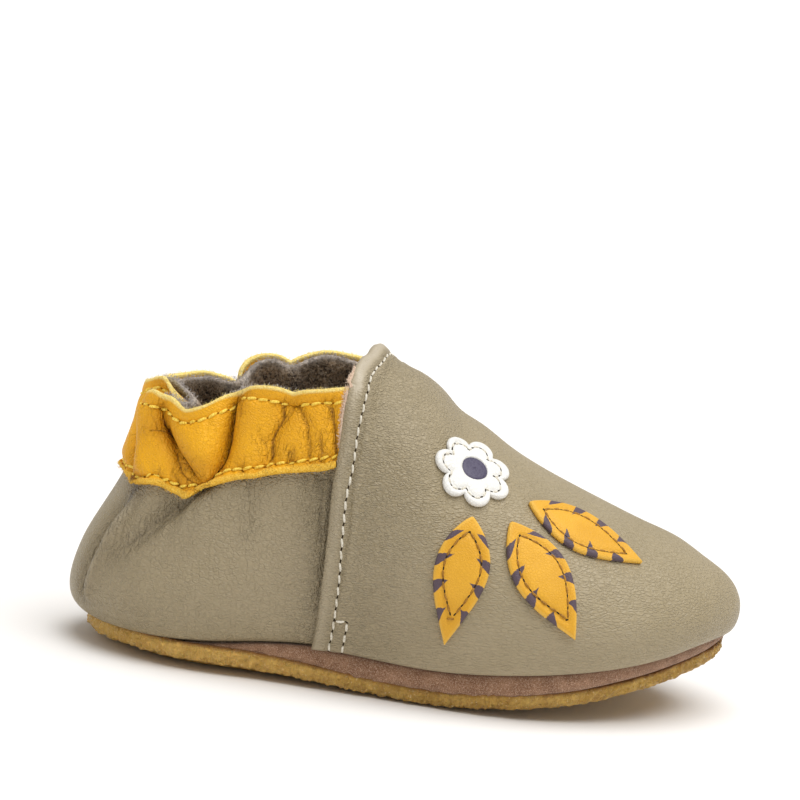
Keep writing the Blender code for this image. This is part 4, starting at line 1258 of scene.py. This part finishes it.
def make_vamp(shoe, sage, lining):
    """Toe panel with a folded hem along the throat, sewn down in a groove."""
    points, normals = shoe.points[shoe.front], shoe.normals[shoe.front]
    away = distance_to_line(points, shoe.throat_edge(shoe.points))[0]
    climb = lengths_up(points)
    hem = HEM_RISE * (1.0 - smooth_step((away - HEM_STITCH) / HEM_EASE))
    puff = HEM_PUFF * np.sin(math.pi * np.clip(away / HEM_STITCH, 0.0, 1.0))
    groove = HEM_GROOVE * bump(away - HEM_STITCH, GROOVE_WIDTH)
    rise = GAP + VAMP_THICK + hem + puff - groove
    outer, inner = rounded(rise, 0.0, np.minimum(away / HEM_ROLL, climb / VAMP_FOOT_ROUND))
    # Paler along the hem's rolled edge and a little along the foot, partly wear and partly a painted
    # highlight; most on the hem's crown, a painted highlight where it faces the light.
    crown = smooth_step((points[:, :, 2] - CROWN_FROM) / CROWN_EASE)
    rub = bump(away - 1.0, 1.1) * (0.5 + 1.4 * crown) + bump(climb - 1.0, 0.9) * 0.25
    pull = 0.2 + 0.8 * (1.0 - smooth_step((away - VAMP_PULL_FROM) / VAMP_PULL_EASE))
    uncreased = dict.fromkeys(("wrinkled", "furrow", "fold_shade"), np.zeros(rub.shape))
    grid = outward(points, normals, outer)
    add_sheet("vamp_panel", grid, outward(points, normals, inner), False, (sage, lining, sage),
              "vamp", dict(uncreased, rub=rub, pull=pull))
    return Surface(grid)


def make_cuff(shoe, mustard):
    """Gathered strip with a flared raw lip below and a ruffled raw rim above."""
    points = shoe.points[shoe.rear, QUARTER_LEVELS:]
    upward = unit(points[:, -1] - points[:, -2])
    stand = [points[:, -1] + upward * CUFF_STAND * share for share in CUFF_STAND_LEVELS]
    points = np.concatenate([points, np.stack(stand, axis=1)], axis=1)

    def held_over(values):
        """Values of the cuff's levels, kept up to the levels that stand above the rim."""
        values = values[shoe.rear, QUARTER_LEVELS:]
        return np.concatenate([values, np.repeat(values[:, -1:], len(CUFF_STAND_LEVELS), axis=1)], axis=1)

    normals = held_over(shoe.normals)
    climb = lengths_up(points)
    below = climb[:, -1:] - climb
    place = lengths_along(points[:, 0])
    wave = (1.0 + 0.5 * ripple(place, 3, 6, 14.0))[:, None]
    lip = LIP_FLARE * (1.0 - smooth_step(climb / LIP_STITCH)) * wave
    ruffle = (1.0 + 0.5 * ripple(place, 8, 4, 22.0))[:, None]
    flare = RIM_FLARE * smooth_step(1.0 - below / RIM_STITCH) * ruffle
    groove = LIP_GROOVE * bump(climb - LIP_STITCH, GROOVE_WIDTH)
    groove = groove + RIM_GROOVE * bump(below - RIM_STITCH, GROOVE_WIDTH)
    under = CUFF_CLEAR + 0.9 * lip + flare
    over = under + CUFF_THICK - groove
    outer, inner = rounded(over, under, np.minimum(climb, below) / CUFF_EDGE_ROUND + LEAST_ROUND)
    grid = outward(points, normals, outer)
    fields = {label: held_over(values) for label, values in shoe.marks.items()}
    fields["raw"] = 1.0 - smooth_step((below - RIM_RAW) / RIM_RAW_EASE)
    fields["lip"] = 1.0 - smooth_step((climb - LIP_RAW) / LIP_RAW_EASE)
    add_sheet("cuff_strip", grid, outward(points, normals, inner), False, (mustard,) * 3,
              "cuff", fields)
    return grid, climb, below, normals


def at_length(grid, lengths, wanted):
    """The place on each column of a grid where its length reaches the wanted one."""
    found = []
    for column, length in zip(grid, lengths):
        order = np.argsort(length)
        found.append([np.interp(wanted, length[order], column[order, axis]) for axis in range(3)])
    return np.array(found)


Seam = namedtuple("Seam", "pitch length radius lift slant")
HEM_SEAM = Seam(2.4, 1.85, 0.24, 0.20, 0.16)
TACK_SEAM = Seam(2.3, 1.7, 0.26, 0.20, 0.05)
CUFF_SEAM = Seam(2.3, 2.1, 0.31, 0.29, 0.15)
PATCH_SEAM = Seam(2.3, 1.75, 0.24, 0.16, 0.05)
FLOWER_SEAM = Seam(1.9, 1.35, 0.20, 0.14, 0.05)
TACK_WIDE = 2.6
TACK_TALL = 7.2
STITCH_SHARES = np.array([-1.0, -0.9, -0.6, -0.2, 0.2, 0.6, 0.9, 1.0])
STITCH_SIDES = 8


def stitch_meshes(middles, runs, normals, length, radius, lift):
    """Points and faces of separate stitches: bowed threads that dip into the leather at both ends."""
    aside = unit(np.cross(normals, runs))
    swell = radius * np.sqrt(1.0 - STITCH_SHARES ** 4)
    height = lift * (1.0 - STITCH_SHARES ** 2) - 0.45 * radius
    turn = np.linspace(0.0, 2.0 * math.pi, STITCH_SIDES, endpoint=False)
    spine = middles[:, None] + runs[:, None] * (STITCH_SHARES * length / 2.0)[None, :, None]
    spine = spine + normals[:, None] * height[None, :, None]
    round_x = aside[:, None, None] * np.cos(turn)[None, None, :, None]
    round_z = normals[:, None, None] * np.sin(turn)[None, None, :, None]
    points = spine[:, :, None] + (round_x + round_z) * swell[None, :, None, None]
    single = ring_faces(STITCH_SIDES, len(STITCH_SHARES))[:, ::-1]
    per_stitch = len(STITCH_SHARES) * STITCH_SIDES
    faces = single[None] + (np.arange(len(middles)) * per_stitch)[:, None, None]
    return points.reshape(-1, 3), faces.reshape(-1, 4)


def slanted(runs, normals, slant):
    return unit(runs + np.cross(normals, runs) * np.asarray(slant).reshape(-1, 1))


def sew(name, surface, path, seam, finishes, seed):
    """A row of stitches along a path on a surface, with a needle hole between each two."""
    draw = np.random.default_rng(seed)
    whole = path_length(path)
    count = int(round(whole / seam.pitch))
    places = (np.arange(count) + 0.5) * whole / count
    ends = np.arange(count + 1) * whole / count
    parts = []
    for spots, slant, length, radius, lift in (
            (places, seam.slant, seam.length, seam.radius, seam.lift),
            (ends, -seam.slant, HOLE_LENGTH, HOLE_RADIUS, 0.0)):
        middles, normals = surface.nearest(along_path(path, spots))
        ahead = along_path(path, np.clip(spots + RUN_STEP, 0.0, whole))
        runs = unit(ahead - along_path(path, np.clip(spots - RUN_STEP, 0.0, whole)))
        runs = slanted(runs, normals, slant + draw.normal(0.0, SLANT_SPREAD, len(spots)))
        normals = unit(normals - runs * np.sum(normals * runs, axis=1, keepdims=True))
        parts.append(stitch_meshes(middles, runs, normals, length, radius, lift))
    (points, faces), (holes, hole_faces) = parts
    groups = [faces, hole_faces + len(points)]
    return add_piece(name, np.concatenate([points, holes]), groups, finishes)


def fuzz(name, spots, outs, reach, finish, seed, radius):
    """Loose fibres off a cut edge: a thin bent spike at each spot, leaning about its way out."""
    draw = np.random.default_rng(seed)
    count = len(spots)
    heading = unit(outs + draw.normal(0.0, 0.5, (count, 3)))
    bend = unit(heading + draw.normal(0.0, 0.6, (count, 3)))
    length = (reach * draw.uniform(0.3, 1.0, count) ** 1.5)[:, None]
    aside = unit(np.cross(heading, draw.normal(size=(count, 3))))
    turn = np.arange(3) * 2.0 * math.pi / 3.0
    ring = aside[:, None] * np.cos(turn)[None, :, None]
    ring = (ring + np.cross(heading, aside)[:, None] * np.sin(turn)[None, :, None]) * radius
    middle = spots + heading * length * FIBRE_ELBOW
    tip = middle + bend * length * (1.0 - FIBRE_ELBOW)
    root = (spots - heading * FIBRE_ROOT)[:, None] + ring
    points = np.concatenate([root, middle[:, None] + ring * 0.8, tip[:, None]], axis=1)
    step = (np.arange(count) * 7)[:, None, None]
    sides = np.array([[i, (i + 1) % 3, (i + 1) % 3 + 3, i + 3] for i in range(3)])[None] + step
    tips = np.array([[i + 3, (i + 1) % 3 + 3, 6] for i in range(3)])[None] + step
    return add_piece(name, points, [sides.reshape(-1, 4), tips.reshape(-1, 3)], (finish, finish))


def fringe(path, outs, count, spread, seed):
    """Spots scattered along a path, with the way out at each."""
    draw = np.random.default_rng(seed)
    places = draw.uniform(0.0, path_length(path), count)
    spots = along_path(path, places)
    return spots + draw.normal(0.0, spread, (count, 3)), unit(along_path(path, places, outs))


Fringe = namedtuple("Fringe", "name path outs count spread reach radius finish tone slot seed")


def add_fringe(row):
    """Loose fibres of one tone along a cut edge."""
    spots, outs = fringe(row.path, row.outs, row.count, row.spread, row.seed)
    finish = loose_fibre(row.finish, row.tone)
    fuzz(row.name, spots, outs, row.reach, finish, row.seed + 1, row.radius)


def floor_line(x):
    """Height of the sole's underside: flat to the ball, then the toe spring."""
    ahead = np.clip((x - SPRING_START) / (TOE_X - SPRING_START), 0.0, None)
    return TOE_SPRING * ahead ** SPRING_POWER


class SoleOutline:
    """The sole seam in plan, evenly spaced, with outlines inside it."""

    def __init__(self, last, count):
        stations = np.arange(count) * last.span / count
        self.seam = last.lower[0](stations)
        self.seam[:, 1] += toe_swing(self.seam[:, 0])
        plan = self.seam[:, :2]
        run = unit(np.roll(plan, -1, axis=0) - np.roll(plan, 1, axis=0))
        self.inward = np.stack([-run[:, 1], run[:, 0]], axis=1)

    def moved_in(self, inset):
        """The outline in plan, moved inwards."""
        return self.seam[:, :2] + self.inward * np.asarray(inset).reshape(-1, 1)

    def ring(self, inset, height):
        """Outline moved inwards, at a height above the sole's underside."""
        plan = self.moved_in(inset)
        return np.column_stack([plan, floor_line(plan[:, 0]) + height])

    def seam_ring(self, inset, drop):
        """Outline moved inwards, at a depth below the seam."""
        return np.column_stack([self.moved_in(inset), self.seam[:, 2] - drop])


def rumple(points, size, seed):
    """Uneven field over points, about -1 to 1, with lumps of a size."""
    shift = Vector((seed * 17.3, seed * -9.1, seed * 5.7))
    flat = np.asarray(points).reshape(-1, 3)
    values = [noise.fractal(Vector(point) / size + shift, 0.8, 2.0, 4) for point in flat]
    return np.array(values).reshape(np.asarray(points).shape[:-1])


def ring_piece(name, rings, finish, node, fields=None):
    """Closed piece through rings from its underside to its upper face."""
    count = len(rings[0])
    last = (len(rings) - 1) * count
    groups = [ring_faces(count, len(rings)), cap_faces(count, 0, True), cap_faces(count, last, False)]
    return add_piece(name, np.stack(rings), groups, [finish] * 3, node, fields)


def heel_share(x):
    """1 at the heel, easing to 0 at the ball."""
    return smooth_step((HEEL_LIFT_START - x) / HEEL_LIFT_EASE)


def edge_lift(x):
    """How far the crepe's edge turns up: over the band at the heel, and a little beside the ball."""
    return HEEL_LIFT * heel_share(x) + BALL_LIFT * bump(x - BALL_LIFT_X, BALL_LIFT_REACH)


def make_crepe_sole(outline, crepe):
    """Crepe sheet with a torn looking, crinkled edge."""
    turned_up = edge_lift(outline.seam[:, 0])
    rings = []
    glue = []
    for inset, height in CREPE_PROFILE:
        edge = 1.0 if inset < CREPE_EDGE else 0.0
        near = edge
        if height < CREPE_TOP:
            near = float(1.0 - smooth_step((inset - CREPE_LIFT_INSET) / CREPE_LIFT_EASE))
        ring = outline.ring(inset - turned_up * CREPE_EDGE_OUT * edge, height)
        climb = min(height / CREPE_FOOT_HEIGHT, 1.0)
        ring[:, 2] += turned_up * near * (CREPE_FOOT_LIFT + (1.0 - CREPE_FOOT_LIFT) * climb)
        lump = sum(rumple(ring, size, seed) * tall for size, tall, seed in CREPE_LUMPS)
        ring[:, :2] -= outline.inward * (edge * lump)[:, None]
        if height < CREPE_NICK_TOP:
            ring[:, 2] += np.abs(rumple(ring, CREPE_NICK_SIZE, 3)) * CREPE_NICK * edge
        rings.append(ring)
        glue.append(np.full(len(ring), smooth_step((height - GLUE_FROM) / GLUE_EASE) * edge))
    # heel: where the crepe is painted paler as lit.
    heel = np.stack([heel_share(ring[:, 0]) for ring in rings])
    fields = {"glue": np.stack(glue), "heel": heel}
    return ring_piece("crepe_sole", rings, crepe, "outsole", fields)


def make_sole_band(outline, suede_finish):
    """Sole leather whose rim turns up as a band under the seam."""
    base = CREPE_THICK + GAP * 0.4
    plate = CREPE_THICK + GAP + SOLE_LEATHER_THICK
    uneven = BAND_UNEVEN * rumple(outline.seam, 5.0, 4)
    bulge = uneven + BAND_LIFT_SHARE * edge_lift(outline.seam[:, 0])
    low = outline.ring(BAND_CLEAR + bulge, base + BAND_ROUND)
    high = outline.seam_ring(BAND_CLEAR + bulge, BAND_ROUND)
    rings = [outline.ring(BAND_FOOT_INSET, base), outline.ring(BAND_LEAN + bulge, base), low]
    for share in BAND_SHARES:
        ring = low + (high - low) * share
        ring[:, :2] -= outline.inward * BAND_SWELL * math.sin(math.pi * share)
        rings.append(ring)
    rings += [outline.seam_ring(bulge, 0.2), outline.seam_ring(bulge + BAND_LEAN, BAND_CLEAR)]
    lip = outline.seam_ring(SOLE_BAND_WALL, 0.1)
    floor = outline.ring(SOLE_BAND_WALL + GAP, plate)
    lip[:, 2] = np.maximum(lip[:, 2], floor[:, 2])
    rings += [lip, floor]
    # Painted shade on the band's upper rings under the seam, less at the heel.
    seam = np.zeros((len(rings), len(outline.seam)))
    seam[-len(BAND_DARK):] = np.array(BAND_DARK)[:, None]
    seam *= 1.0 - BAND_HEEL_BARE * heel_share(outline.seam[:, 0])
    return ring_piece("sole_band", rings, suede_finish, "midsole", {"seam": seam})


def make_insole_sock(outline, sock):
    """Sock on the sole leather, with its rim turned up against the wall over the seam."""
    base = CREPE_THICK + SOLE_LEATHER_THICK + 2.0 * GAP
    foot = outline.ring(INSOLE_INSET - SOCK_RIM_OUT, base + SOCK_EASE)
    rings = [outline.ring(INSOLE_INSET + SOCK_EASE, base), foot]
    for inset, rise in SOCK_RIM:
        rim = outline.seam_ring(INSOLE_INSET - SOCK_RIM_OUT + inset, -rise)
        rim[:, 2] = np.maximum(rim[:, 2], foot[:, 2] + rise)
        rings.append(rim)
    for inset, height in SOCK_TOP:
        ring = outline.ring(INSOLE_INSET + inset, base + height)
        ring[:, 2] += SOCK_UNEVEN * rumple(ring, 7.0, 5)
        rings.append(ring)
    return ring_piece("insole_sock", rings, sock, "insole")


def leaf_outline(leaf):
    """Closed outline of a leaf on the patch plane."""
    share = np.linspace(0.0, 1.0, 70)
    half_width = leaf.width / 2.0 * np.sin(math.pi * share ** LEAF_FULLNESS)
    along = (share - 0.5) * leaf.length
    there = turned(leaf, along, half_width)
    back = turned(leaf, along, -half_width)[::-1]
    return np.concatenate([there, back[1:]])


def turned(leaf, along, aside):
    """Places on the patch plane from lengths along and beside a leaf's middle line."""
    turn = math.radians(leaf.heading)
    forward = leaf.forward + along * math.cos(turn) - aside * math.sin(turn)
    rise = leaf.rise + along * math.sin(turn) + aside * math.cos(turn)
    return np.stack([forward, rise], axis=-1)


def patch_sheet(name, vamp, flat, outline, row, closed, finish, node, fields):
    """Leather patch on the vamp with a rolled edge and a groove along its row of stitches."""
    spots, normals = vamp.lay(flat[..., 0], flat[..., 1])
    away = distance_to_line(flat, outline)[0]
    groove = PATCH_GROOVE * bump(distance_to_line(flat, row)[0], PATCH_GROOVE_WIDTH)
    top = PATCH_GAP + PATCH_THICK - groove
    outer, inner = rounded(top, -PATCH_SINK, away / PATCH_ROLL)
    grid = outward(spots, normals, outer)
    fields = dict(fields, raw=1.0 - smooth_step((away - 0.1) / 0.6))
    add_sheet(name, grid, outward(spots, normals, inner), closed, (finish,) * 3, node, fields)
    return Surface(grid, closed)


def make_leaf(vamp, leaf, finish, threads):
    """Leaf patch, sewn round inside its edge."""
    share = smooth_step(np.linspace(0.0, 1.0, 64)) * 0.985 + 0.0075
    half_width = leaf.width / 2.0 * np.sin(math.pi * share ** LEAF_FULLNESS)
    across = np.sin(np.linspace(-0.5, 0.5, 31) * math.pi)
    along = (share - 0.5)[:, None] * leaf.length * np.ones_like(across)[None, :]
    flat = turned(leaf, along, half_width[:, None] * across[None, :])
    inside = leaf._replace(length=leaf.length - 4.0 * LEAF_STITCH, width=leaf.width - 2.0 * LEAF_STITCH)
    row = leaf_outline(inside)
    fields = {"along": np.repeat(share[:, None], len(across), axis=1),
              "across": np.repeat(across[None, :], len(share), axis=0)}
    top = patch_sheet(leaf.name + "_patch", vamp, flat, leaf_outline(leaf), row, False, finish,
                      leaf.name, fields)
    path = top.lay(row[:, 0], row[:, 1])[0]
    sew(leaf.name + "_stitches", top, path, PATCH_SEAM, threads, 11)


def disc_grid(inner_radius, outer_radius, turns, rings):
    """Grid of a round patch from its rim inwards, and its closed outline."""
    turn = np.linspace(0.0, 2.0 * math.pi, turns, endpoint=False)
    share = 1.0 - np.linspace(0.0, 1.0, rings) ** 1.4
    reach = outer_radius(turn)
    radius = inner_radius + (reach[:, None] - inner_radius) * share[None, :]
    flat = np.stack([FLOWER_FORWARD + radius * np.cos(turn)[:, None],
                     FLOWER_RISE + radius * np.sin(turn)[:, None]], axis=-1)
    return flat, np.concatenate([flat[:, 0], flat[:1, 0]])


def petal_radius(turn):
    """Reach of the flower's petals and notches."""
    wave = np.abs(np.sin(FLOWER_PETALS * turn / 2.0)) ** PETAL_ROUNDNESS
    return FLOWER_RADIUS * (1.0 - FLOWER_NOTCH * (1.0 - wave))


def make_flower(vamp, white, navy, threads):
    """White flower patch with a navy eye, sewn round its petals."""
    flat, outline = disc_grid(FLOWER_EYE_RADIUS - FLOWER_EYE_LAP, petal_radius, 168, 16)
    row = disc_grid(0.0, lambda turn: petal_radius(turn) * 0.94 - FLOWER_STITCH, 90, 2)[1]
    top = patch_sheet("flower_patch", vamp, flat, outline, row, True, white,
                      "applique_flower", {})
    path = top.lay(row[:, 0], row[:, 1])[0]
    sew("flower_stitches", top, path, FLOWER_SEAM, threads, 12)
    eye, eye_edge = disc_grid(0.01, lambda turn: np.full(len(turn), FLOWER_EYE_RADIUS), 48, 10)
    patch_sheet("flower_eye_patch", vamp, eye, eye_edge, row, True, navy,
                "applique_flower_eye", {})


def hem_path(shoe, vamp, inside):
    """A line on the vamp at a distance inside its rear edge."""
    places, edge, normals, back = shoe.hem()
    kept = (places > HEM_ENDS) & (places < places[-1] - HEM_ENDS)
    spots = vamp.nearest((edge - back * inside + normals)[kept])[0]
    return vamp.nearest(eased(spots))[0]


def box_tack(vamp, hem):
    """The tack that locks the hem's seam at the sole: up ahead of the seam and back across to it."""
    corner = along_path(hem, np.array([TACK_TALL]))[0]
    foot = hem[0]
    ahead = np.array([TACK_WIDE, 0.0, 0.0])
    corners = np.array([foot + ahead, corner + ahead, corner])
    lengths = np.linspace(0.0, path_length(corners), 40)
    return vamp.nearest(along_path(corners, lengths))[0]


def make_fringes(shoe, cuff, cuff_out):
    """Fibres on the cuff's two cut edges and on the lining's rim."""
    level = np.array([0.0, 0.0, 1.0])
    rim_out = shoe.normals[shoe.rear, -1]
    inside = shoe.points[shoe.rear, -1] - rim_out * WALL_THICK * 0.7
    fringes = (
        Fringe("cuff_rim_fibres", cuff[:, -1], cuff_out[:, -1] * 0.3 + level, 900, 0.16, 0.42, FIBRE_RADIUS,
               "pale_fibre", (0.93, 0.74, 0.26), "mustard_leather", 21),
        Fringe("cuff_lip_fibres", cuff[:, 0], cuff_out[:, 0] - level * 0.8, 900, 0.18, 0.38, FIBRE_RADIUS,
               "gold_fibre", (0.86, 0.50, 0.06), "mustard_leather", 23),
        # The lining's rim fibres are pale grey as painted light at the opening.
        Fringe("lining_rim_fibres", inside, level - 0.5 * rim_out, 3600, 0.35, 0.6, NAP_RADIUS,
               "grey_fibre", (0.55, 0.50, 0.47), "sage_leather", 25),
    )
    for row in fringes:
        add_fringe(row)


def make_raw_edges(shoe, flesh):
    """Raw edge of the turned hem, showing behind it from the cuff's middle to the arch."""
    places, edge, normals, back = shoe.hem()
    inner_first = places[-1] - RAW_EDGE_FROM - RAW_EDGE_LENGTH
    for side, first in (("outer", RAW_EDGE_FROM), ("inner", inner_first)):
        here = (places > first) & (places < first + RAW_EDGE_LENGTH)
        along = places[here] - first
        ends = smooth_step(along / RAW_EDGE_TAPER) * smooth_step((RAW_EDGE_LENGTH - along) / RAW_EDGE_TAPER)
        width = RAW_EDGE_WIDTH * ends * (1.0 + 0.35 * ripple(along, 31, 6, 4.0))
        share = np.linspace(0.0, 1.0, 6)
        reach = -RAW_EDGE_TUCK + (width + RAW_EDGE_TUCK)[:, None] * share[None, :]
        spots = edge[here][:, None] + back[here][:, None] * reach[:, :, None]
        skins = rounded(RAW_EDGE_LIFT + 0.2, RAW_EDGE_LIFT - 0.4, (1.0 - share) * 2.0)
        outer, inner = (spots + normals[here][:, None] * skin[None, :, None] for skin in skins)
        add_sheet(side + "_raw_edge", outer, inner, False, (flesh,) * 3)
        middle = (outer[:, -1] + inner[:, -1]) / 2.0
        outs = back[here] + normals[here] * 0.3
        add_fringe(Fringe(side + "_raw_edge_fibres", middle, outs, 380, 0.12, 0.75, NAP_RADIUS,
                          side + "_raw_fibre", (0.88, 0.70, 0.55), "sage_leather", 27))


def make_lining_nap(shoe):
    """Short fibres standing off the lining below the collar's rim."""
    draw = np.random.default_rng(33)
    count = NAP_FIBRES
    columns = shoe.rear[draw.integers(0, len(shoe.rear), count)]
    levels = draw.integers(QUARTER_LEVELS + 4, len(shoe.heights) - 2, count)
    normals = shoe.normals[columns, levels]
    spots = shoe.points[columns, levels] - normals * WALL_THICK + draw.normal(0.0, NAP_SPREAD, (count, 3))
    outs = -normals + draw.normal(0.0, NAP_TOUSLE, (count, 3)) + np.array([0.0, 0.0, NAP_RISE])
    finish = loose_fibre("lining_fibre", (0.42, 0.325, 0.23))
    fuzz("lining_nap", spots, unit(outs), NAP_LENGTH, finish, 34, NAP_RADIUS)


def add_sun():
    """A wide soft light overhead, as from a large diffuser."""
    lamp = bpy.data.lights.new("diffuser", "SUN")
    lamp.energy = SUN_STRENGTH
    lamp.color = SUN_COLOUR
    lamp.angle = SUN_SPREAD
    light = bpy.data.objects.new("diffuser", lamp)
    bpy.context.collection.objects.link(light)
    light.rotation_mode = "QUATERNION"
    light.rotation_quaternion = (-Vector(SUN_FROM)).to_track_quat("-Z", "Y")


def set_stage():
    """White floor, white surroundings and a large soft light overhead."""
    shape = bmesh.new()
    bmesh.ops.create_grid(shape, x_segments=8, y_segments=8, size=FLOOR_SIZE / 2.0)
    mesh = bpy.data.meshes.new("floor")
    shape.to_mesh(mesh)
    shape.free()
    mesh.materials.append(floor_paper())
    floor = bpy.data.objects.new("floor", mesh)
    bpy.context.collection.objects.link(floor)
    world = bpy.data.worlds.new("studio")
    world.use_nodes = True
    world.node_tree.nodes["Background"].inputs["Color"].default_value = (*SKY_COLOUR, 1.0)
    world.node_tree.nodes["Background"].inputs["Strength"].default_value = SKY_STRENGTH
    bpy.context.scene.world = world
    add_sun()
    bpy.context.scene.view_settings.view_transform = "Standard"


def set_camera():
    """Long lens on the outer side, a little above the shoe, rolled so that the toe rises in the picture."""
    right, up, ahead = camera_axes()
    lens = bpy.data.cameras.new("camera")
    lens.sensor_width = 36.0
    lens.lens = lens.sensor_width * CAMERA_FAR / VIEW_WIDTH
    lens.clip_start = 0.01
    camera = bpy.data.objects.new("camera", lens)
    bpy.context.collection.objects.link(camera)
    turn = Matrix((right, up, -ahead)).transposed().to_4x4()
    aim = Vector(VIEW_MIDDLE) * MM + Vector(TABLE_ORIGIN)
    camera.matrix_world = Matrix.Translation(aim - ahead * CAMERA_FAR * MM) @ turn
    bpy.context.scene.camera = camera


def main():
    set_camera()
    set_stage()
    last = Last()
    shoe = Shoe(last)
    outline = SoleOutline(last, SOLE_POINTS)
    quarter_sage = sage_nappa("sage_quarter", 1.05, (1.0, 1.0, 1.0))
    vamp_sage = sage_nappa("sage_vamp", 0.75, (0.5, 0.8, 1.35))
    mustard = mustard_nappa("mustard_cuff", 0.55)
    # Lining: its near-black deep tone is painted shade among the fibres, and its rim tone painted light near
    # the opening.
    lining = suede("lining_suede", (0.022, 0.012, 0.006), (0.50, 0.345, 0.210), (0.72, 0.58, 0.44), 0.5,
                   "rim", (0.62, 0.55, 0.48))
    sock = suede("sock_suede", (0.10, 0.072, 0.045), (0.26, 0.205, 0.145), (0.42, 0.36, 0.27), 0.35)
    # The band's seam tone is painted shade under the seam.
    brown = suede("sole_suede", (0.215, 0.107, 0.058), (0.425, 0.240, 0.142), (0.74, 0.52, 0.37), 0.2,
                  "seam", (0.055, 0.028, 0.018))
    hole = needle_hole("needle_hole", (0.022, 0.015, 0.009), (0.05, 0.036, 0.022))
    gold_hole = needle_hole("cuff_needle_hole", (0.24, 0.095, 0.004), (0.36, 0.15, 0.008))
    cream = thread("cream_thread", (0.78, 0.74, 0.64), (0.55, 0.50, 0.40))
    yellow = thread("yellow_thread", (0.97, 0.74, 0.13), (0.76, 0.47, 0.03))
    bronze = thread("bronze_thread", (0.42, 0.21, 0.03), (0.26, 0.12, 0.015))
    make_upper(shoe, quarter_sage, lining)
    vamp = make_vamp(shoe, vamp_sage, lining)
    cuff, climb, below, cuff_out = make_cuff(shoe, mustard)
    cuff_side = Surface(cuff)
    make_crepe_sole(outline, crepe_rubber())
    make_sole_band(outline, brown)
    make_insole_sock(outline, sock)
    hem = hem_path(shoe, vamp, HEM_STITCH)
    sew("hem_stitches", vamp, hem, HEM_SEAM, (cream, hole), 1)
    box = box_tack(vamp, hem)
    sew("hem_tack_stitches", vamp, box, TACK_SEAM, (cream, hole), 4)
    sew("cuff_lip_stitches", cuff_side, at_length(cuff, climb, LIP_STITCH), CUFF_SEAM, (yellow, gold_hole),
        2)
    sew("cuff_rim_stitches", cuff_side, at_length(cuff, below, RIM_STITCH), CUFF_SEAM, (yellow, gold_hole),
        3)
    make_fringes(shoe, cuff, cuff_out)
    flesh = suede("raw_flesh", (0.56, 0.38, 0.27), (0.82, 0.62, 0.47), (0.90, 0.76, 0.62), 0.3)
    make_raw_edges(shoe, flesh)
    make_lining_nap(shoe)
    veined = veined_leather()
    for leaf in LEAVES:
        make_leaf(vamp, leaf, veined, (bronze, hole))
    white = smooth_leather("white_flower", (0.86, 0.85, 0.81), (0.66, 0.65, 0.62), 0.42)
    navy = smooth_leather("navy_eye", (0.052, 0.042, 0.085), (0.09, 0.08, 0.13), 0.42)
    make_flower(vamp, white, navy, (cream, hole))


main()
